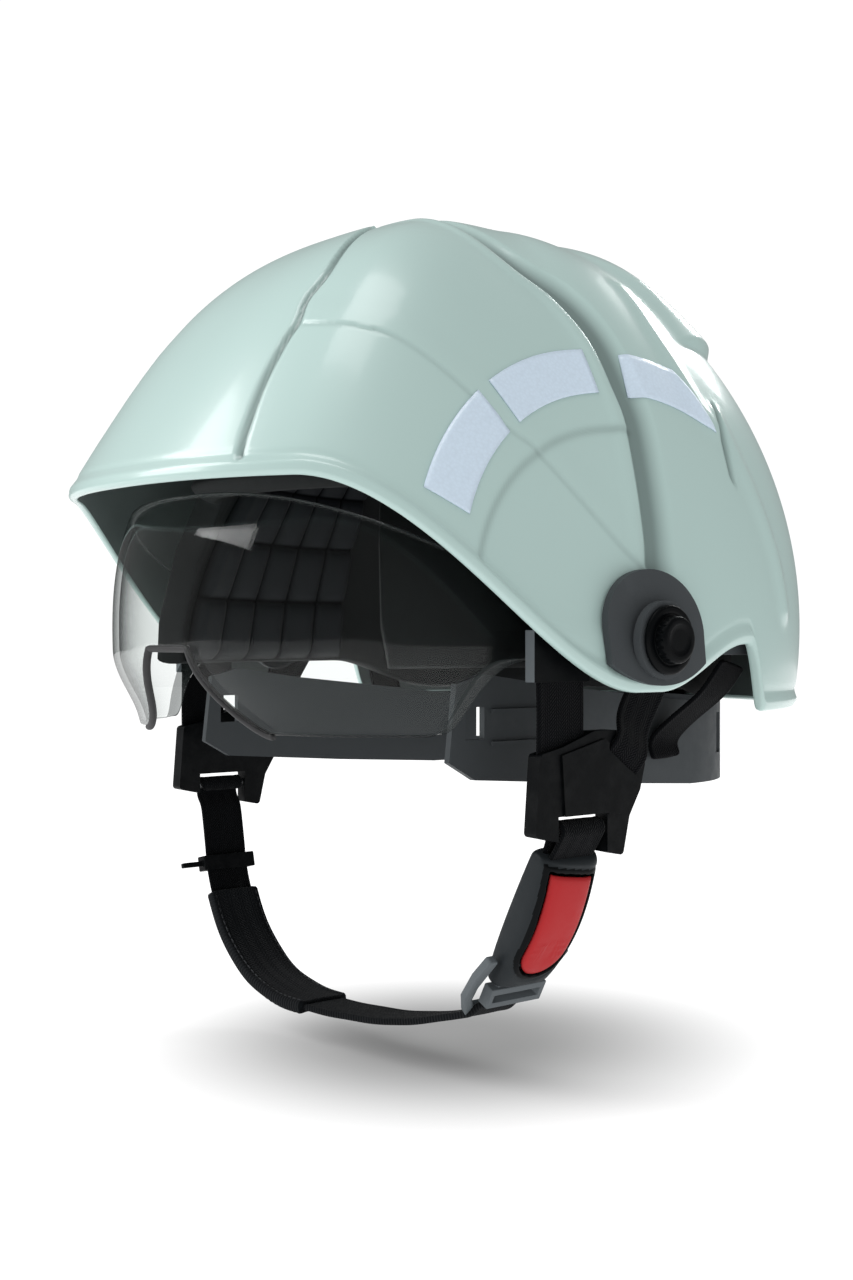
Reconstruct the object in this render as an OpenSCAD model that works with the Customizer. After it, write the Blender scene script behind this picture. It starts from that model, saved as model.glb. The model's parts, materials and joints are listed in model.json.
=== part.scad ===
// Rescue hard hat with a drop-down eye shield, occipital ratchet cradle and chin strap.
// Frame: +Z up, the face looks along -Y, the wearer's left is +X.
// The origin is on the centre plane, level with the middle of the front brim.

/* [Outer shell] */
// Half width of the shell
shell_half_w = 116; // [114:1:118]
// Reach of the front brim ahead of the origin
shell_front = 142; // [140:1:146]
// Reach of the back ahead of the origin
shell_back = 126; // [124:1:130]
// Height of the crown above the front brim
crown_h = 102; // [100:1:106]
// Wall of the moulded shell
shell_wall = 3; // [2.5:0.5:3]
// Depth of the ear lobes below the front brim
lobe_drop = 66; // [64:1:68]
// Depth of the nape edge below the front brim
nape_drop = 74; // [72:1:78]

/* [Eye shield] */
// Height of the pivot axis
pivot_z = -51; // [-52:1:-50]
// Fore and aft place of the pivot axis
pivot_y = -15; // [-16:1:-14]
// Half width of the lens
lens_half_w = 94; // [92:1:95]
// Reach of the lens from the pivot axis to the nose
lens_reach = 110; // [108:1:111]
// Lens thickness
lens_wall = 2.2; // [2:0.1:2.4]
// Radius of the pivot shafts
shaft_r = 4; // [3.5:0.5:4]

/* [Harness] */
// Webbing width of the chin strap
web_w = 20; // [18:1:20]
// Webbing thickness
web_t = 1.6; // [1.4:0.1:1.8]
// Distance of the side straps from the centre plane
strap_x = 103; // [102:0.5:104]
// Height of the divider bars that carry the chin strap
bar_z = -110; // [-112:1:-108]
// Fore and aft place of the chin strap
chin_y = -38; // [-40:1:-36]
// Lean of the buckle from upright, in degrees
buckle_lean = 28; // [26:1:30]

/* [Cradle] */
// Half width of the nape cradle
cradle_half_w = 73; // [72:1:74]
// Reach of the cradle behind its side ends
cradle_reach = 58; // [56:1:60]
// Radius of the ratchet knob
knob_r = 19; // [17:1:20]

/* [Hidden] */

eps = 0.01;
mint = [0.72, 0.79, 0.77];
charcoal = [0.22, 0.24, 0.25];
black = [0.06, 0.06, 0.07];

// ---------- helpers ----------
function sum(v, i = 0) = i < len(v) ? v[i] + sum(v, i + 1) : 0;
function ramp(x, a, b) = let (t = min(1, max(0, (x - a) / (b - a)))) t * t * (3 - 2 * t);
function end_half(i, n) = (i == 0 || i == n) ? 0.5 : 1;
// Cosine series through values spaced evenly from the front, 0, to the back, 180 degrees
function series(v) = let (n = len(v) - 1)
    [for (k = [0:n]) end_half(k, n) * 2 / n * sum([for (j = [0:n]) end_half(j, n) * v[j] * cos(180 * j * k / n)])];
function at_angle(c, t) = sum([for (k = [0:len(c) - 1]) c[k] * cos(k * t)]);
function from_front(t) = let (m = abs(t) % 360) m > 180 ? 360 - m : m;

module both_sides() {
    children();
    mirror([1, 0, 0]) children();
}

// A closed solid between an outer and an inner sheet of points, each rows of equal length
module sheet_solid(outer, inner) {
    rows = len(outer);
    cols = len(outer[0]);
    back = rows * cols;
    points = [for (s = [outer, inner]) for (r = s) for (p = r) p];
    quads = [for (i = [0:rows - 2]) for (j = [0:cols - 2])
        let (a = i * cols + j) each [[a, a + 1, a + cols + 1], [a, a + cols + 1, a + cols],
            [back + a, back + a + cols + 1, back + a + 1], [back + a, back + a + cols, back + a + cols + 1]]];
    rim = concat([for (j = [0:cols - 1]) j], [for (i = [1:rows - 1]) i * cols + cols - 1],
        [for (j = [cols - 2:-1:0]) (rows - 1) * cols + j], [for (i = [rows - 2:-1:1]) i * cols]);
    walls = [for (k = [0:len(rim) - 1])
        let (a = rim[k], b = rim[(k + 1) % len(rim)]) each [[a, back + a, back + b], [a, back + b, b]]];
    polyhedron(points, concat(quads, walls));
}

// ---------- domes: the shell and the liner share one way of building their form ----------
// A dome is [half width, front, back, plan power, crown height, crown shift back,
//            crown handles, edge slopes, edge handles, height of the edge at each angle]
function shell_form(a) = -lobe_drop * ramp(a, 29, 79) - (nape_drop - lobe_drop) * ramp(a, 84, 112);
function liner_form(a) = -58 - 12 * ramp(a, 95, 125);
shell_dome = [shell_half_w, shell_front, shell_back, 2.3, crown_h, 8,
              series([0.57, 0.6, 0.62, 0.56, 0.58]), series([56, 69, 86, 100, 103]), series([72, 77, 96, 96, 92]),
              function(t) shell_form(from_front(t))];
liner_dome = [91, 122, 108, 2.3, 76, 19,
              series([0.4, 0.43, 0.5, 0.52, 0.5]), series([84, 85, 88, 94, 96]), series([80, 77, 72, 74, 72]),
              function(t) liner_form(from_front(t))];

function plan_r(d, t) = let (c = cos(t), b = c > 0 ? d[1] : d[2])
    pow(pow(abs(c / b), d[3]) + pow(abs(sin(t) / d[0]), d[3]), -1 / d[3]);
// Point at angle t from the front and share s of the way from crown to edge
function dome_point(d, t, s) =
    let (edge = (d[9])(t), r3 = plan_r(d, t), slope = at_angle(d[7], t), handle = at_angle(d[8], t),
         r1 = at_angle(d[6], t) * r3, r2 = r3 - handle * cos(slope), z2 = edge + handle * sin(slope),
         q = 1 - s, b1 = 3 * s * q * q, b2 = 3 * s * s * q,
         r = b1 * r1 + b2 * r2 + s * s * s * r3,
         z = (q * q * q + b1) * d[4] + b2 * z2 + s * s * s * edge)
    [r * sin(t), d[5] * q * q - r * cos(t), z];
function dome_normal(d, t, s) =
    let (u = dome_point(d, t + 1, s) - dome_point(d, t - 1, s),
         v = dome_point(d, t, s + 0.01) - dome_point(d, t, s - 0.01), n = cross(v, u))
    n / norm(n);
// The dome's surface moved inwards by depth
function dome_skin(d, t, s, depth) = dome_point(d, t, s) - depth * dome_normal(d, t, s);

// Share of the way down a meridian, between low and high, at which the height is z
function share_at(d, t, z, low, high, left = 16) = let (mid = (low + high) / 2)
    left == 0 ? mid :
    dome_point(d, t, mid)[2] > z ? share_at(d, t, z, mid, high, left - 1) : share_at(d, t, z, low, mid, left - 1);

// A closed cap between two depths of a dome, trimmed at a share for each angle
module dome_shell(d, angles, shares, trims, depth_out, depth_in) {
    rows = len(shares);
    cols = len(angles);
    outer = [for (s = shares) for (i = [0:cols - 1]) dome_skin(d, angles[i], s * trims[i], depth_out)];
    inner = [for (s = shares) for (i = [0:cols - 1]) dome_skin(d, angles[i], s * trims[i], depth_in)];
    back = rows * cols;
    top = 2 * back;
    points = concat(outer, inner, [[0, d[5], d[4] - depth_out], [0, d[5], d[4] - depth_in]]);
    faces = [for (j = [0:cols - 1]) let (k = (j + 1) % cols) each concat(
        [[top, j, k], [top + 1, back + k, back + j]],
        [for (i = [0:rows - 2]) each [[i * cols + j, (i + 1) * cols + k, i * cols + k],
            [i * cols + j, (i + 1) * cols + j, (i + 1) * cols + k],
            [back + i * cols + j, back + i * cols + k, back + (i + 1) * cols + k],
            [back + i * cols + j, back + (i + 1) * cols + k, back + (i + 1) * cols + j]]],
        [[(rows - 1) * cols + j, back + (rows - 1) * cols + j, back + (rows - 1) * cols + k],
         [(rows - 1) * cols + j, back + (rows - 1) * cols + k, (rows - 1) * cols + k]])];
    polyhedron(points, faces);
}

// A pad or patch that follows a dome between two angles, two shares and two depths
module dome_patch(d, t, s, depth, steps) {
    function grid(z) = [for (i = [0:steps[1]]) [for (j = [0:steps[0]])
        dome_skin(d, t[0] + (t[1] - t[0]) * j / steps[0], s[0] + (s[1] - s[0]) * i / steps[1], z)]];
    sheet_solid(grid(depth[0]), grid(depth[1]));
}

// ---------- shell group ----------
shell_angles = concat([for (t = [0:5:100]) t], [104, 107, 108.5, 110, 111.5, 115], [for (t = [120:6:180]) t]);
shell_ring = concat(shell_angles, [for (i = [len(shell_angles) - 2:-1:1]) 360 - shell_angles[i]]);
// The trim line leaves the form behind the lobe and steps down at the rear corner
function shell_trim(t) = let (a = from_front(t))
    15 * ramp(a, 84, 106) - 15 * ramp(a, 107, 111.5) + (nape_drop - lobe_drop) * (ramp(a, 84, 112) - ramp(a, 107, 111.5));
shell_trims = [for (t = shell_ring) share_at(shell_dome, t, shell_form(from_front(t)) + shell_trim(t), 0.6, 1.05)];
shell_shares = [0.08, 0.16, 0.24, 0.32, 0.4, 0.48, 0.56, 0.64, 0.71, 0.78, 0.85, 0.91, 0.96, 1];

module shell() {
    color(mint)
    difference() {
        dome_shell(shell_dome, shell_ring, shell_shares, shell_trims, 0, shell_wall);
        translate([0, pivot_y, pivot_z]) rotate([0, 90, 0])
            cylinder(r = shaft_r + 4, h = 2 * shell_half_w + 20, center = true, $fn = 48);
    }
}

liner_ring = concat([for (t = [0:6:30]) t], [34, 35.5, 37.5, 39], [for (t = [45:7.5:90]) t], [for (t = [97:7:180]) t],
                    [180]);
liner_angles = concat(liner_ring, [for (i = [len(liner_ring) - 2:-1:1]) 360 - liner_ring[i]]);
// The liner stops above the brow in front and reaches down over the temples
liner_trims = [for (t = liner_angles) let (a = from_front(t))
    a > 39.5 ? 1 : share_at(liner_dome, t, 4 - 62 * ramp(a, 34, 39), 0.4, 1)];
liner_shares = [0.12, 0.24, 0.36, 0.48, 0.6, 0.72, 0.82, 0.91, 1];
liner_wall = 10;

module impact_liner() {
    color(charcoal)
    dome_shell(liner_dome, liner_angles, liner_shares, liner_trims, 0, liner_wall);
}

pad_gap = 0.7;
pad_t = 5;
// Foam tiles on the inside of each temple: columns of tiles round the head, rows down it
module temple_pads() {
    columns = 5;
    column_angle = 11;
    rows = 5;
    top = 0.42;
    tile = (1 - top) / rows;
    color(black)
    both_sides()
        for (c = [0:columns - 1], r = [0:rows - 1])
            dome_patch(liner_dome, [40 + c * column_angle, 40 + (c + 0.9) * column_angle],
                       [top + r * tile, top + (r + 0.9) * tile],
                       [liner_wall + pad_gap, liner_wall + pad_gap + pad_t], [2, 2]);
}

module brow_pad() {
    color(black)
    dome_patch(liner_dome, [-30, 30], [0.5, 0.69],
               [liner_wall + pad_gap, liner_wall + pad_gap + pad_t], [10, 4]);
}

module crown_pad() {
    ring = [for (t = [0:15:345]) t];
    color(black)
    dome_shell(liner_dome, ring, [0.1, 0.2, 0.3, 0.36], [for (t = ring) 1],
               liner_wall + pad_gap, liner_wall + pad_gap + pad_t);
}

// Retro-reflective strips: an arc of flat film round each pivot, broken at the creases
strip_inner_r = 73.2;
strip_growth = 0.13;
strip_outer_r = 88.2;
strip_arcs = [[31, 57.5], [61.5, 89], [98, 119]];
film_t = 0.4;
film_gap = 0.15;
// Share of the way down a meridian at which the surface is a given distance from the pivot axis
function pivot_distance(t, s) = let (p = dome_point(shell_dome, t, s))
    norm([p[1] - pivot_y, p[2] - pivot_z]);
function pivot_angle(t, s) = let (p = dome_point(shell_dome, t, s))
    atan2(p[2] - pivot_z, pivot_y - p[1]);
// Newton's steps from a first guess to the surface point at distance r and angle a round the pivot axis
function polar_error(q, r, a) = [pivot_distance(q[0], q[1]) - r, pivot_angle(q[0], q[1]) - a];
function polar_solve(r, a, q, left) = left == 0 ? q :
    let (e = polar_error(q, r, a), h = [0.5, 0.01],
         et = (polar_error(q + [h[0], 0], r, a) - e) / h[0], es = (polar_error(q + [0, h[1]], r, a) - e) / h[1],
         det = et[0] * es[1] - es[0] * et[1],
         step = [(e[0] * es[1] - es[0] * e[1]) / det, (et[0] * e[1] - e[0] * et[1]) / det])
    polar_solve(r, a, q - 0.8 * step, left - 1);
function polar_guess(a) = [40 + 0.56 * a, 0.78 - 0.0026 * a];

function strip_spots(arc, steps) = [for (i = [0:2]) [for (j = [0:steps])
    let (a = arc[0] + (arc[1] - arc[0]) * j / steps)
    polar_solve(strip_inner_r + (strip_outer_r - strip_inner_r) * i / 2 + strip_growth * (a - 31), a,
                polar_guess(a), 14)]];
function film_sheet(spots, z) = [for (row = spots) [for (q = row)
    dome_skin(shell_dome, q[0], q[1], -z)]];

module reflective_strips() {
    color([0.82, 0.87, 0.95])
    both_sides()
        for (arc = strip_arcs) {
            spots = strip_spots(arc, 7);
            sheet_solid(film_sheet(spots, film_gap), film_sheet(spots, film_gap + film_t));
        }
}

// ---------- pivot hardware ----------
cover_half_w = 20.5;
cover_t = 2.6;
boss_r = 12.4;
boss_foot = shell_half_w + 0.8;
boss_face = 119.6;
shaft_clear = 0.06;

module on_pivot() {
    translate([0, pivot_y, pivot_z]) rotate([0, 90, 0]) children();
}

// Outline of a pivot cover seen from the side: an arch whose foot follows the lobe
module cover_outline() {
    intersection() {
        union() {
            translate([0, 2]) circle(r = cover_half_w, $fn = 96);
            translate([-cover_half_w, -14]) square([2 * cover_half_w, 16]);
        }
        translate([0, 19.6]) circle(r = 34, $fn = 128);
    }
}

module pivot_covers() {
    color(charcoal)
    both_sides()
        difference() {
            union() {
                intersection() {
                    dome_patch(shell_dome, [56, 112], [0.7, 1.03], [-0.3 - cover_t, -0.3], [20, 10]);
                    translate([95, pivot_y, pivot_z]) rotate([90, 0, 90]) linear_extrude(40) cover_outline();
                }
                translate([boss_foot, 0, 0]) on_pivot() cylinder(r = boss_r, h = boss_face - boss_foot, $fn = 96);
            }
            translate([100, 0, 0]) on_pivot() cylinder(r = shaft_r + shaft_clear, h = 40, $fn = 96);
        }
}

shaft_in = lens_half_w - 0.8;
shaft_out = 122.8;
module pivot_shafts() {
    color("silver")
    both_sides() translate([shaft_in, 0, 0]) on_pivot() cylinder(r = shaft_r, h = shaft_out - shaft_in, $fn = 96);
}

knob_base_r = 11;
knob_cap_r = 7.6;
knob_h = 5.4;
module pivot_knobs() {
    ribs = 20;
    color(black)
    both_sides() translate([boss_face + 0.3, 0, 0]) on_pivot()
        difference() {
            union() {
                cylinder(r = knob_base_r, h = 1.8, $fn = 96);
                cylinder(r = knob_cap_r, h = knob_h, $fn = 96);
            }
            translate([0, 0, -eps]) cylinder(r = shaft_r + 0.03, h = 3.2 + eps, $fn = 96);
            for (i = [0:ribs - 1])
                rotate(i * 360 / ribs) translate([knob_base_r + 0.5, 0, -eps]) cylinder(r = 0.9, h = 4, $fn = 16);
        }
}

// ---------- eye shield ----------
lens_power = 2.6;
lens_top = 25;
lens_columns = 62;
lens_rows = 8;
lens_last = 84;
nose_arch_w = 12;
nose_flare_w = 32;
// The lens leans in below the eyes: its reach from the pivot falls from top to bottom
function lens_profile(a) = lens_reach + 3 * ramp(a, -2, 26) - 7 * ramp(-a, 2, 17);
// Lowest height of the lens below the pivot, at a share of its half width
function lens_bottom(x) = let (w = abs(x) / lens_half_w)
    max(-32 + 26 * ramp(w, 0.84, 0.97), nose_line(abs(x)));
function nose_line(x) =
    let (v = max(0, min(1, (x - nose_arch_w) / nose_flare_w))) -2 - 31 * (1 - pow(1 - v, 2.2));
function lens_point(c, v, depth) =
    let (sx = pow(abs(sin(c)), 2 / lens_power) * sign(c), cx = pow(cos(c), 2 / lens_power),
         x = (lens_half_w - depth) * sx,
         low = asin(max(-0.9, min(0.9, lens_bottom(x) / max(30, cx * lens_reach)))),
         a = low + (lens_top - low) * v,
         reach = (lens_profile(a) - depth) * cx)
    [x, pivot_y - reach * cos(a), pivot_z + reach * sin(a)];

module lens() {
    function sheet(depth) = [for (i = [0:lens_rows]) [for (j = [0:lens_columns])
        lens_point(lens_last * (2 * j / lens_columns - 1), i / lens_rows, depth)]];
    color([0.9, 0.95, 0.97, 0.35])
    difference() {
        sheet_solid(sheet(0), sheet(lens_wall));
        both_sides() at_rivets(arm_x - 8) cylinder(r = 1.3, h = 12, $fn = 32);
    }
}

// Soft edging that clips over the nose cut-out
module nose_guard() {
    steps = 14;
    function edge(depth, lift) = [for (j = [0:steps])
        let (c = lens_last * (2 * j - steps) / lens_columns) lens_point(c, 0, depth) + [0, 0, lift]];
    color(black)
    sheet_solid([edge(-0.6, -2.6), edge(-0.6, -0.7)], [edge(lens_wall + 0.6, -2.6), edge(lens_wall + 0.6, -0.7)]);
}

arm_x = lens_half_w + 0.2;
tab_y = -26;
tab_z = 4;
arm_t = 2.6;
module at_rivets(x) {
    for (z = [-3, 3])
        translate([x, pivot_y + tab_y - 1, pivot_z + tab_z + z]) rotate([0, 90, 0]) children();
}

// Moulded arm that carries each end of the lens on its shaft
module shield_arms() {
    color(charcoal)
    both_sides()
        difference() {
            translate([arm_x, pivot_y, pivot_z]) rotate([90, 0, 90]) linear_extrude(arm_t) {
                circle(r = 12, $fn = 64);
                polygon([[0, -12], [tab_y, tab_z - 7], [tab_y, tab_z + 7], [0, 12]]);
                translate([tab_y, tab_z]) circle(r = 7, $fn = 48);
            }
            translate([arm_x - 1, 0, 0]) on_pivot() cylinder(r = shaft_r + 0.03, h = arm_t + 2, $fn = 96);
            at_rivets(arm_x - 1) cylinder(r = 1.3, h = arm_t + 2, $fn = 32);
        }
}

module arm_rivets() {
    color("silver")
    both_sides() {
        at_rivets(arm_x - 4.3) cylinder(r = 2.2, h = 0.8, $fn = 32);
        at_rivets(arm_x - 3.6) cylinder(r = 1.25, h = arm_t + 3.8, $fn = 32);
        at_rivets(arm_x + arm_t + 0.1) cylinder(r = 2.2, h = 0.8, $fn = 32);
    }
}

// ---------- side harness ----------
front_strap_y = -45.7;
rear_top = [5, -48];
rear_foot = [-19, -88];
web_hook = [34, -60];
web_gap = 0.3;

// A flat piece in the plane of the side straps, from an outline in fore-aft and height
module side_plate(x_mid, t) {
    translate([x_mid - t / 2, 0, 0]) rotate([90, 0, 90]) linear_extrude(t) children();
}

module front_strap_outline(grow) {
    translate([front_strap_y - web_w / 2 - grow, -101 - grow]) square([web_w + 2 * grow, 48.6 + grow]);
}

module rear_strap_outline(grow) {
    run = rear_top - rear_foot;
    length = norm(run);
    translate(rear_foot) rotate(atan2(run[1], run[0]))
        translate([-8 - grow, -8 - grow]) square([length + 6 + grow, 16 + 2 * grow]);
}

module front_straps() {
    color(black) both_sides() side_plate(strap_x, web_t) front_strap_outline(0);
}

module rear_straps() {
    color(black) both_sides()
        difference() {
            side_plate(strap_x, web_t) rear_strap_outline(0);
            side_plate(strap_x, 4) front_strap_outline(0.4);
        }
}

// Moulded hangers that hold the tops of the straps inside the shell
module front_strap_clips() {
    color([0.36, 0.39, 0.41])
    both_sides()
        difference() {
            side_plate(strap_x - 0.8, 4)
                translate([front_strap_y - web_w / 2 - 2, -64]) square([web_w + 4, 16]);
            side_plate(strap_x, web_t + 2 * web_gap)
                translate([front_strap_y - web_w / 2 - web_gap, -65]) square([web_w + 2 * web_gap, 13]);
        }
}

module rear_strap_clips() {
    color([0.36, 0.39, 0.41])
    both_sides()
        difference() {
            side_plate(strap_x + 0.6, 5.6)
                translate([rear_top[0] - 9, rear_top[1] - 8]) square([46, 16]);
            side_plate(strap_x, web_t + 2 * web_gap) rear_strap_outline(web_gap);
        }
}

divider_t = 5.4;
bar_r = 1.5;
bar_window = 4.6;
module divider_outline() {
    polygon([[-58.5, -111], [-56.5, -86], [-47, -84], [-33, -79.5], [-23, -79.5], [-9.5, -90],
             [-12, -99], [-17, -107], [-20, -119.5]]);
}

// Raised face of the divider, sunk where the rear strap folds over
module divider_face() {
    difference() {
        polygon([[-48, -86.5], [-29, -82], [-12, -94.5], [-17.5, -106], [-46.5, -106]]);
        hull() {
            translate([-25, -84.5]) circle(r = 2.2, $fn = 32);
            translate([-11.5, -94.3]) circle(r = 2.2, $fn = 32);
        }
    }
}

module divider() {
    color(black)
    difference() {
        union() {
            side_plate(strap_x, divider_t) offset(r = 1.5, $fn = 24) offset(delta = -1.5) divider_outline();
            side_plate(strap_x + divider_t / 2 + 0.2, 1.2) divider_face();
        }
        side_plate(strap_x, web_t + 2 * web_gap) {
            front_strap_outline(web_gap);
            rear_strap_outline(web_gap);
        }
        side_plate(strap_x, divider_t + 2)
            translate([chin_y - web_w / 2 - 0.8, bar_z - 15]) square([web_w + 1.6, 15 + bar_window]);
        translate([strap_x, chin_y, bar_z]) rotate([90, 0, 0])
            cylinder(r = bar_r + 0.03, h = web_w + 7, center = true, $fn = 48);
    }
}
module divider_left() { divider(); }
module divider_right() { mirror([1, 0, 0]) divider(); }

module divider_bars() {
    color("silver")
    both_sides() translate([strap_x, chin_y, bar_z]) rotate([90, 0, 0])
        cylinder(r = bar_r, h = web_w + 6.6, center = true, $fn = 48);
}

// ---------- nape cradle ----------
cradle_y = 50;
cradle_low = -103;
cradle_high = -73;
cradle_wall = 2.4;
housing_y = cradle_y + cradle_reach;
knob_z = -89;
pin_r = 3;
module_mm = 1;
teeth = 12;
pitch_r = module_mm * teeth / 2;

function cradle_arc(off, from, to, steps) = [for (i = [0:steps])
    let (a = from + (to - from) * i / steps)
    [(cradle_half_w + off) * cos(a), cradle_y + (cradle_reach + off) * sin(a)]];
module cradle_band(inner, outer, from, to, low, high) {
    translate([0, 0, low]) linear_extrude(high - low)
        polygon(concat(cradle_arc(outer, from, to, 40), cradle_arc(inner, to, from, 40)));
}

// Side arm of the cradle, tall at the temple and narrower towards the nape
module cradle_side() {
    polygon([[cradle_y + 0.5, cradle_high], [-20, -66], [-50, -62], [-62, -65], [-65, -90], [-54, -96],
             [0, -100], [cradle_y + 0.5, cradle_low]]);
}

module nape_cradle() {
    color([0.27, 0.29, 0.3])
    difference() {
        union() {
            cradle_band(-cradle_wall, 0, 0, 180, cradle_low, cradle_high);
            both_sides() side_plate(cradle_half_w - cradle_wall / 2, cradle_wall) cradle_side();
            both_sides() side_plate(cradle_half_w + 0.2, 1.2) for (z = [-85, -74.5]) translate([-47, z]) square([40, 1.2]);
            translate([-30, housing_y - cradle_wall - 3.2, knob_z - 13]) cube([60, cradle_wall + 3.2, 26]);
        }
        translate([-31, housing_y - 0.01, knob_z - 13.5]) cube([62, 10, 27]);
        both_sides() side_plate(cradle_half_w, 10) translate([-58, -83]) square([8, 10.5]);
        both_sides() for (a = [20, 44])
            translate([0, cradle_y, -86]) rotate([0, 0, a])
                translate([0, -3.2, -7]) cube([90, 6.4, 15]);
        translate([0, housing_y + 1, knob_z]) rotate([90, 0, 0]) cylinder(r = pin_r + 0.05, h = 3.8, $fn = 64);
    }
}

module nape_pad() {
    color(black)
    difference() {
        cradle_band(-cradle_wall - 8.2, -cradle_wall - 3.6, 52, 128, cradle_low - 6, cradle_high - 4);
        translate([-31, housing_y - cradle_wall - 3.5, knob_z - 14]) cube([62, 10, 28]);
    }
}

cover_y = housing_y + 4.2;
module ratchet_cover() {
    color(charcoal)
    difference() {
        translate([-30, housing_y + 0.2, knob_z - 13]) cube([60, 6.6, 26]);
        translate([-31, housing_y, knob_z - 10.6]) cube([62, cover_y - housing_y, 21.2]);
        translate([0, housing_y + 10, knob_z]) rotate([90, 0, 0]) cylinder(r = pin_r + 0.05, h = 12, $fn = 64);
        for (x = [-26, 26], z = [-11.8, 11.8])
            translate([x, housing_y + 10, knob_z + z]) rotate([90, 0, 0]) cylinder(r = 0.85, h = 12, $fn = 24);
    }
}

module ratchet_cover_screws() {
    color("silver")
    for (x = [-26, 26], z = [-11.8, 11.8])
        translate([x, housing_y + 7.8, knob_z + z]) rotate([90, 0, 0]) {
            cylinder(r = 0.8, h = 7.4, $fn = 24);
            cylinder(r = 1.15, h = 0.9, $fn = 24);
        }
}

tooth_add = 0.8;
tooth_ded = 1.2;
module tooth(root, tip) {
    polygon([[-root / 2, 0], [-tip / 2, tooth_add + tooth_ded], [tip / 2, tooth_add + tooth_ded], [root / 2, 0]]);
}

module ratchet_pinion() {
    color("dimgray")
    translate([0, housing_y + 3.7, knob_z]) rotate([90, 0, 0]) {
        linear_extrude(3) {
            circle(r = pitch_r - tooth_ded, $fn = 64);
            for (i = [0:teeth - 1])
                rotate(i * 360 / teeth) translate([0, pitch_r - tooth_ded - 0.05]) tooth(1.9, 0.7);
        }
        translate([0, 0, -7.3]) cylinder(r = pin_r, h = 13.6, $fn = 64);
    }
}

module ratchet_knob() {
    grips = 18;
    color(black)
    translate([0, housing_y + 7.2, knob_z]) rotate([-90, 0, 0])
        difference() {
            union() {
                cylinder(r = knob_r, h = 7.2, $fn = 96);
                cylinder(r = knob_r - 6, h = 9.7, $fn = 96);
            }
            translate([0, 0, -eps]) cylinder(r = pin_r + 0.03, h = 4, $fn = 64);
            for (i = [0:grips - 1])
                rotate(i * 360 / grips) translate([knob_r + 1, 0, -eps]) cylinder(r = 2.1, h = 9, $fn = 24);
        }
}

// Toothed strip that the pinion draws in; the left one runs above it and the right one below
rack_t = 2.4;
rack_h = 4;
function rack_tooth(x, y) = [[x - 0.95, y], [x - 0.35, y - tooth_add - tooth_ded],
                             [x + 0.35, y - tooth_add - tooth_ded], [x + 0.95, y]];
module rack(reach) {
    pitch = PI * module_mm;
    count = 7;
    root = pitch_r + tooth_ded;
    linear_extrude(rack_t)
        polygon(concat([[-11, pitch_r + rack_h], [-11, root]],
                       [for (i = [0:count - 1]) each rack_tooth((i - 2.5) * pitch, root)],
                       [[reach, root], [reach, pitch_r + rack_h]]));
}
module rack_left() {
    color("gray") translate([0, housing_y + 3.4, knob_z]) rotate([90, 0, 0]) rack(20);
}
module rack_right() {
    color("gray") translate([0, housing_y + 3.4, knob_z]) rotate([90, 0, 0]) rotate(180) rack(20);
}

// Webbing from each rear clip down to the end of the cradle
module cradle_straps() {
    color(black)
    both_sides() hull() {
        translate([strap_x - 4.4, web_hook[0], web_hook[1]]) cube([web_t, 15, 2], center = true);
        translate([cradle_half_w + 1.4, cradle_y - 6, -88]) cube([web_t, 15, 14], center = true);
    }
}

// ---------- buckle ----------
// The buckle frame: origin on the left divider bar, -Z down the strap, +X outwards
module in_buckle() {
    translate([strap_x, chin_y, bar_z]) rotate([0, buckle_lean, 0]) children();
}
house_top = -9;
house_len = 49;
house_w = 27;
house_t = 13;
slot_t = 5.2;
slot_w = 18.6;
button_w = 19;
button_len = 38;

// Webbing folded round the left divider bar and stitched into the top of the housing
module buckle_web_loop() {
    color(black)
    in_buckle() translate([0, (web_w - 1) / 2, 0]) rotate([90, 0, 0]) linear_extrude(web_w - 1)
        difference() {
            union() {
                circle(r = bar_r + 0.3 + web_t, $fn = 48);
                translate([-web_t - 0.6, -13]) square([2 * web_t + 1.2, 13]);
            }
            circle(r = bar_r + 0.3, $fn = 48);
            translate([-0.3, -11]) square([0.6, 11]);
        }
}

// Side outline of the housing in its own frame: outer face bowed, inner face flat
module house_side() {
    intersection() {
        translate([-house_t / 2 - 1.5, house_top - house_len]) square([house_t + 3, house_len]);
        translate([house_t / 2 + 1.5 - 130, house_top - house_len / 2]) circle(r = 130, $fn = 180);
        translate([-house_t / 2 - 1.5 + 90, house_top - house_len / 2]) circle(r = 90, $fn = 180);
    }
}

module buckle_housing() {
    color(charcoal)
    in_buckle()
        difference() {
            translate([0, house_w / 2, 0]) rotate([90, 0, 0]) linear_extrude(house_w) house_side();
            // channel for the tongue, open at the foot and towards the chin so that the buckle swings clear
            translate([-14, -slot_w / 2, house_top - house_len - 1]) cube([14 + slot_t / 2, slot_w, 21]);
            // seat of the webbing loop
            translate([-web_t - 1, -web_w / 2 + 0.2, house_top - 4.6]) cube([2 * web_t + 2, web_w - 0.4, 6]);
            // well for the release button
            translate([3.2, -button_w / 2 - 0.4, house_top - 5.4 - button_len]) cube([10, button_w + 0.8, button_len + 0.8]);
            translate([-3, 0, house_top - 14]) rotate([0, 90, 0]) cylinder(r = 2.6, h = 8, $fn = 48);
        }
}

module release_button() {
    color([0.69, 0.17, 0.18])
    in_buckle()
        intersection() {
            translate([5.6, -button_w / 2, house_top - 5 - button_len]) cube([6, button_w, button_len]);
            translate([0, button_w / 2, 0]) rotate([90, 0, 0]) linear_extrude(button_w)
                translate([house_t / 2 + 1.1 - 130, house_top - house_len / 2]) circle(r = 130, $fn = 180);
        }
}

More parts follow.
